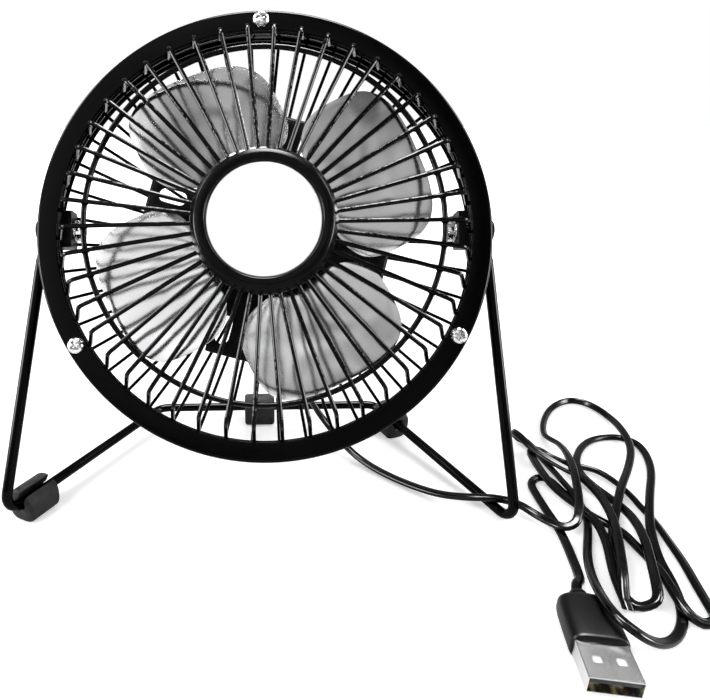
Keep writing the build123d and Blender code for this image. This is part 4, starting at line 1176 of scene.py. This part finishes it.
# --- Motor ----------------------------------------------------------------------------------
# A small brushed motor: a drawn zinc-plated can with two ferrite magnets, a nylon end bell
# with carbon brushes, and a laminated armature on a ground steel shaft in bronze bushes.
drawn_can = grained(
    "drawn_can", 0.50, (0.62, 0.62, 0.61), 350.0, (0.25, 0.42), 2600.0, 0.00001, metal=1.0, stretch=(1, 1, 4)
)
nylon = grained("nylon", (0.70, 0.68, 0.62), (0.78, 0.76, 0.70), 250.0, (0.40, 0.55), 2400.0, 0.00002)
carbon = grained("carbon", 0.018, 0.035, 1500.0, (0.55, 0.75), 6000.0, 0.00003)
ferrite = grained("ferrite", (0.045, 0.045, 0.048), (0.075, 0.075, 0.080), 900.0, (0.50, 0.70), 5000.0, 0.00002)
bronze = grained("bronze", (0.45, 0.27, 0.12), (0.60, 0.38, 0.18), 900.0, (0.30, 0.50), 4000.0, 0.00001, metal=1.0)
ground_steel = grained(
    "ground_steel", (0.55, 0.55, 0.56), (0.68, 0.68, 0.69), 600.0, (0.12, 0.24), 5200.0, 0.000005, metal=1.0
)
lamination = grained(
    "lamination", (0.20, 0.20, 0.21), (0.34, 0.34, 0.35), 500.0, (0.40, 0.60), 2500.0, 0.00003, metal=1.0,
    stretch=(0.2, 1, 6),
)
paint_solid(drawn_can, "motor_can")
paint_solid(nylon, "motor_end_bell")
paint_solid(carbon, "motor_brushes")
paint_solid(ferrite, "motor_magnets")
paint_solid(bronze, "front_bush", "rear_bush", "commutator", "switch_terminals")
paint_solid(ground_steel, "rotor_shaft")
paint_solid(lamination, "armature")


# --- Motor housing --------------------------------------------------------------------------
# A black moulded cup that screws to the bracket from the front, with a flange against the
# rear grille, and a disc that closes its back and carries the switch.
housing_profile = [
    (19.6, -15.75), (23.8, -15.75), (23.8, -17.15), (21.0, -17.6), (21.0, housing_back), (19.6, housing_back)
]
housing_black = grained("housing_black", 0.006, 0.012, 350.0, (0.34, 0.50), 3200.0, 0.00001, specular=0.2)


def housing_bosses():
    """Hollow posts for the housing's own screws and for those of its cover."""
    bosses = []
    for marks, radius, low, high in ((housing_marks, 2.6, -24.75, -15.85), (cover_marks, 2.9, -38.15, -33.2)):
        post = turned_ring(0.8, radius, low, high, [0, 0.3, 0.1, 0], steps=32)
        bosses += [moved(post, turned_out(angle, out / 1000)) for angle, out in marks]
    return bosses


housing_cup = turned(rounded_profile(housing_profile, [0.2, 0.5, 0.5, 1.2, 1.6, 0.2], 6), 160)
mount("housing", joined(housing_cup, *housing_bosses()), housing_black, "housing_black", "motor_housing")


# --- Switch ---------------------------------------------------------------------------------
# A snap-in rocker switch in the middle of the back cover. The key's raised end says that the
# fan is off; a bar and a ring are moulded into its two ends.
switch_place = head_place @ Matrix.Translation((0.0, 0.0030, housing_back / 1000)) @ Matrix.Rotation(math.pi, 4, "Y")
switch_plastic = grained("switch_plastic", 0.009, 0.015, 500.0, (0.24, 0.38), 4200.0, 0.00001, specular=0.35)
mark_white = grained("mark_white", (0.74, 0.74, 0.73), (0.84, 0.84, 0.83), 1200.0, (0.45, 0.60), 5000.0, 0.00001)


def rocker_key():
    """The key's side outline carried across its width, with its two cheeks eased."""
    outline = rounded_profile(
        [(-4.9, -3.4), (4.9, -3.4), (5.5, -1.4), (4.5, 1.8), (0.0, 1.49), (-4.5, 2.573), (-5.5, -1.4)],
        [0.4, 0.4, 1.0, 0.5, 6.0, 0.5, 1.0],
    )
    stations = [(-3.3, 0.93), (-3.2, 0.97), (-2.95, 1.0), (0.0, 1.0), (2.95, 1.0), (3.2, 0.97), (3.3, 0.93)]
    path = [Vector((0.0, y, 0.0)) / 1000 for y, share in stations]
    outlines = [[(x * share, z * share) for x, z in outline] for y, share in stations]
    verts, faces = sweep(path, outlines, [Vector((1.0, 0.0, 0.0))] * len(path))
    return [Vector((vert.x, vert.y, -vert.z)) for vert in verts], faces


def moulded_marks():
    """A bar on the low end and a ring on the raised end of the key."""
    bar_place = Matrix.Translation((0.0030, 0.0, 0.00171)) @ Matrix.Rotation(math.radians(-3.9), 4, "Y")
    ring_place = Matrix.Translation((-0.0030, 0.0, 0.00222)) @ Matrix.Rotation(math.radians(13.5), 4, "Y")
    bar = rounded_block((0.0004, 0.0020, 0.00014), 0.00005, bar_place, 2)
    ring = turned_ring(0.75, 1.1, -0.06, 0.06, [0.04] * 4, 2, 40)
    return joined(bar, moved(ring, ring_place))


paint_solid(housing_black, "rear_cover")
paint_solid(switch_plastic, "switch_body")
key = piece("rocker_key", *moved(rocker_key(), switch_place))
fit(key, "switch_key", switch_plastic, "switch_black", "rocker")
marks = piece("rocker_marks", *moved(moulded_marks(), switch_place))
fit(marks, "switch_key", mark_white, "badge_white")


# --- Cord gland -----------------------------------------------------------------------------
# A soft rubber bush in the low side of the housing, with rings round its tail so that the
# cord bends gently where it comes out.
gland_place = head_place @ Matrix.Translation((0.0060, 0.0, -0.0315)) @ Matrix.Rotation(math.pi / 2, 4, "X")
gland_profile = [
    (0.01, 18.0), (3.6, 18.0), (3.6, 22.6), (3.1, 22.6), (2.95, 23.6), (2.55, 23.7), (2.5, 24.3), (2.85, 24.4),
    (2.7, 25.3), (2.35, 25.4), (2.3, 26.0), (2.55, 26.1), (2.4, 27.0), (2.2, 28.0), (1.5, 28.0), (1.5, 26.0),
    (0.01, 26.0),
]
gland_radii = [0, 0.1, 0.5, 0.2, 0.2, 0.1, 0.1, 0.2, 0.2, 0.1, 0.1, 0.2, 0.3, 0.4, 0.1, 0, 0]
gland = piece("gland", *moved(turned(rounded_profile(gland_profile, gland_radii, 4), 64), gland_place))
fit(gland, "head", foot_rubber, "grey_rubber", "cord_gland")


# --- USB plug -------------------------------------------------------------------------------
# A folded nickel-plated shell with two windows. A black carrier fills its upper half, with four
# gold contacts underneath, and a moulded black grip with a short ribbed tail holds the cord.
plug_place = Matrix.Translation((0.0787, -0.0892, 0.0038)) @ Matrix.Rotation(math.radians(-9.0), 4, "Z")
grip_stations = [
    (10.2, 5.7, 2.9, 4.0), (10.3, 6.2, 3.4, 4.0), (10.7, 6.5, 3.7, 4.0), (11.4, 6.6, 3.8, 3.8),
    (16.0, 6.6, 3.8, 3.6), (22.0, 6.5, 3.7, 3.4), (24.0, 6.3, 3.5, 3.2), (25.0, 5.9, 3.3, 3.0),
    (25.6, 5.2, 3.1, 2.8), (25.9, 4.4, 2.9, 2.5), (26.0, 3.3, 2.7, 2.2), (26.1, 2.8, 2.5, 2.0),
    (26.9, 2.65, 2.35, 2.0), (27.0, 2.3, 2.05, 2.0), (27.4, 2.25, 2.0, 2.0), (27.5, 2.4, 2.15, 2.0),
    (28.3, 2.25, 2.0, 2.0), (28.7, 2.0, 1.75, 2.0), (29.0, 1.75, 1.45, 2.0),
]
grip_black = grained("grip_black", 0.0008, 0.0020, 180.0, (0.28, 0.40), 2800.0, 0.000006, specular=0.14)
plated_shell = grained(
    "plated_shell", 0.74, 0.84, 160.0, (0.18, 0.25), 2400.0, 0.000001, metal=1.0,
    stretch=(1, 0.25, 1),
)


def folded_seam(material, place):
    """Darken the line where the shell's two folded edges meet, with its dovetails."""
    tree = material.node_tree
    shader = tree.nodes["Principled BSDF"]
    colour = shader.inputs["Base Color"].links[0].from_socket
    where = new_node(tree, "ShaderNodeTexCoord")
    spot = new_node(tree, "ShaderNodeMapping", vector_type="TEXTURE")
    spot.inputs["Location"].default_value = place.to_translation()
    spot.inputs["Rotation"].default_value = place.to_euler()
    parts = new_node(tree, "ShaderNodeSeparateXYZ")
    wire_up(tree, (where, "Object", spot, "Vector"), (spot, 0, parts, 0))

    def reckon(operation, first, second=None):
        """One sum on numbers or on other nodes' outputs."""
        node = new_node(tree, "ShaderNodeMath", operation=operation)
        for socket, value in zip(node.inputs, (first, second)):
            if isinstance(value, float):
                socket.default_value = value
            elif value is not None:
                tree.links.new(value, socket)
        return node.outputs[0]

    steps = reckon("GREATER_THAN", reckon("FRACT", reckon("MULTIPLY", parts.outputs["Y"], 290.0)), 0.62)
    line = reckon("ABSOLUTE", reckon("SUBTRACT", parts.outputs["X"], reckon("MULTIPLY", steps, 0.0005)))
    seam = reckon("LESS_THAN", line, 0.00009)
    on_top = reckon("GREATER_THAN", parts.outputs["Z"], 0.0021)
    dark = new_node(tree, "ShaderNodeMix", {7: shade(0.16)}, data_type="RGBA")
    tree.links.new(reckon("MULTIPLY", reckon("MULTIPLY", seam, on_top), 0.8), dark.inputs[0])
    tree.links.new(colour, dark.inputs[6])
    tree.links.new(dark.outputs[2], shader.inputs["Base Color"])


folded_seam(plated_shell, plug_place)
gold = grained("gold", (0.70, 0.50, 0.20), (0.84, 0.64, 0.30), 900.0, (0.18, 0.30), 4200.0, 0.000005, metal=1.0)
carrier_black = grained("carrier_black", 0.004, 0.008, 500.0, (0.35, 0.50), 3600.0, 0.00001)
window_white = grained("window_white", 0.82, 0.90, 500.0, (0.35, 0.50), 3600.0, 0.00001)


def squared_section(half_width, half_height, squareness, steps=64):
    """A section between a rectangle and an oval; a squareness of 2 is an oval."""
    outline = []
    for step in range(steps):
        c, s = math.cos(2 * math.pi * step / steps), math.sin(2 * math.pi * step / steps)
        outline.append((
            half_width * math.copysign(abs(c) ** (2 / squareness), c) / 1000,
            half_height * math.copysign(abs(s) ** (2 / squareness), s) / 1000,
        ))
    return outline


grip_path = [Vector((0.0, y, 0.0)) / 1000 for y, w, h, n in grip_stations]
grip_outlines = [squared_section(w, h, n) for y, w, h, n in grip_stations]
grip_shape = sweep(grip_path, grip_outlines, [Vector((1.0, 0.0, 0.0))] * len(grip_path))
grip = piece("plug_moulding", *moved(grip_shape, plug_place), crisp=50.0)
fit(grip, "stand", grip_black, "plug_black", "plug_grip")
carrier_place = plug_place @ Matrix.Translation((0.0, 0.0066, 0.00098))
carrier = piece("plug_carrier", *rounded_block((0.0110, 0.0120, 0.0019), 0.00015, carrier_place, 2))
fit(carrier, "stand", carrier_black, "plug_black", "plug_tongue")
strips = [
    rounded_block((0.0010, 0.0065, 0.0002), 0.00004, plug_place @ Matrix.Translation((x / 1000, 0.00465, -0.00007)), 1)
    for x in (-3.45, -1.15, 1.15, 3.45)
]
strips = fit(piece("plug_strips", *joined(*strips)), "stand", gold, "gold_contact", "plug_contacts")
bosses = [
    rounded_block((0.00194, 0.00194, 0.0042), 0.0002, plug_place @ Matrix.Translation((side * 0.0026, 0.0052, 0.0)), 2)
    for side in (-1, 1)
]
window_bosses = piece("plug_window_bosses", *joined(*bosses))
fit(window_bosses, "stand", window_white, "badge_white")
paint_solid(plated_shell, "plug_shell")
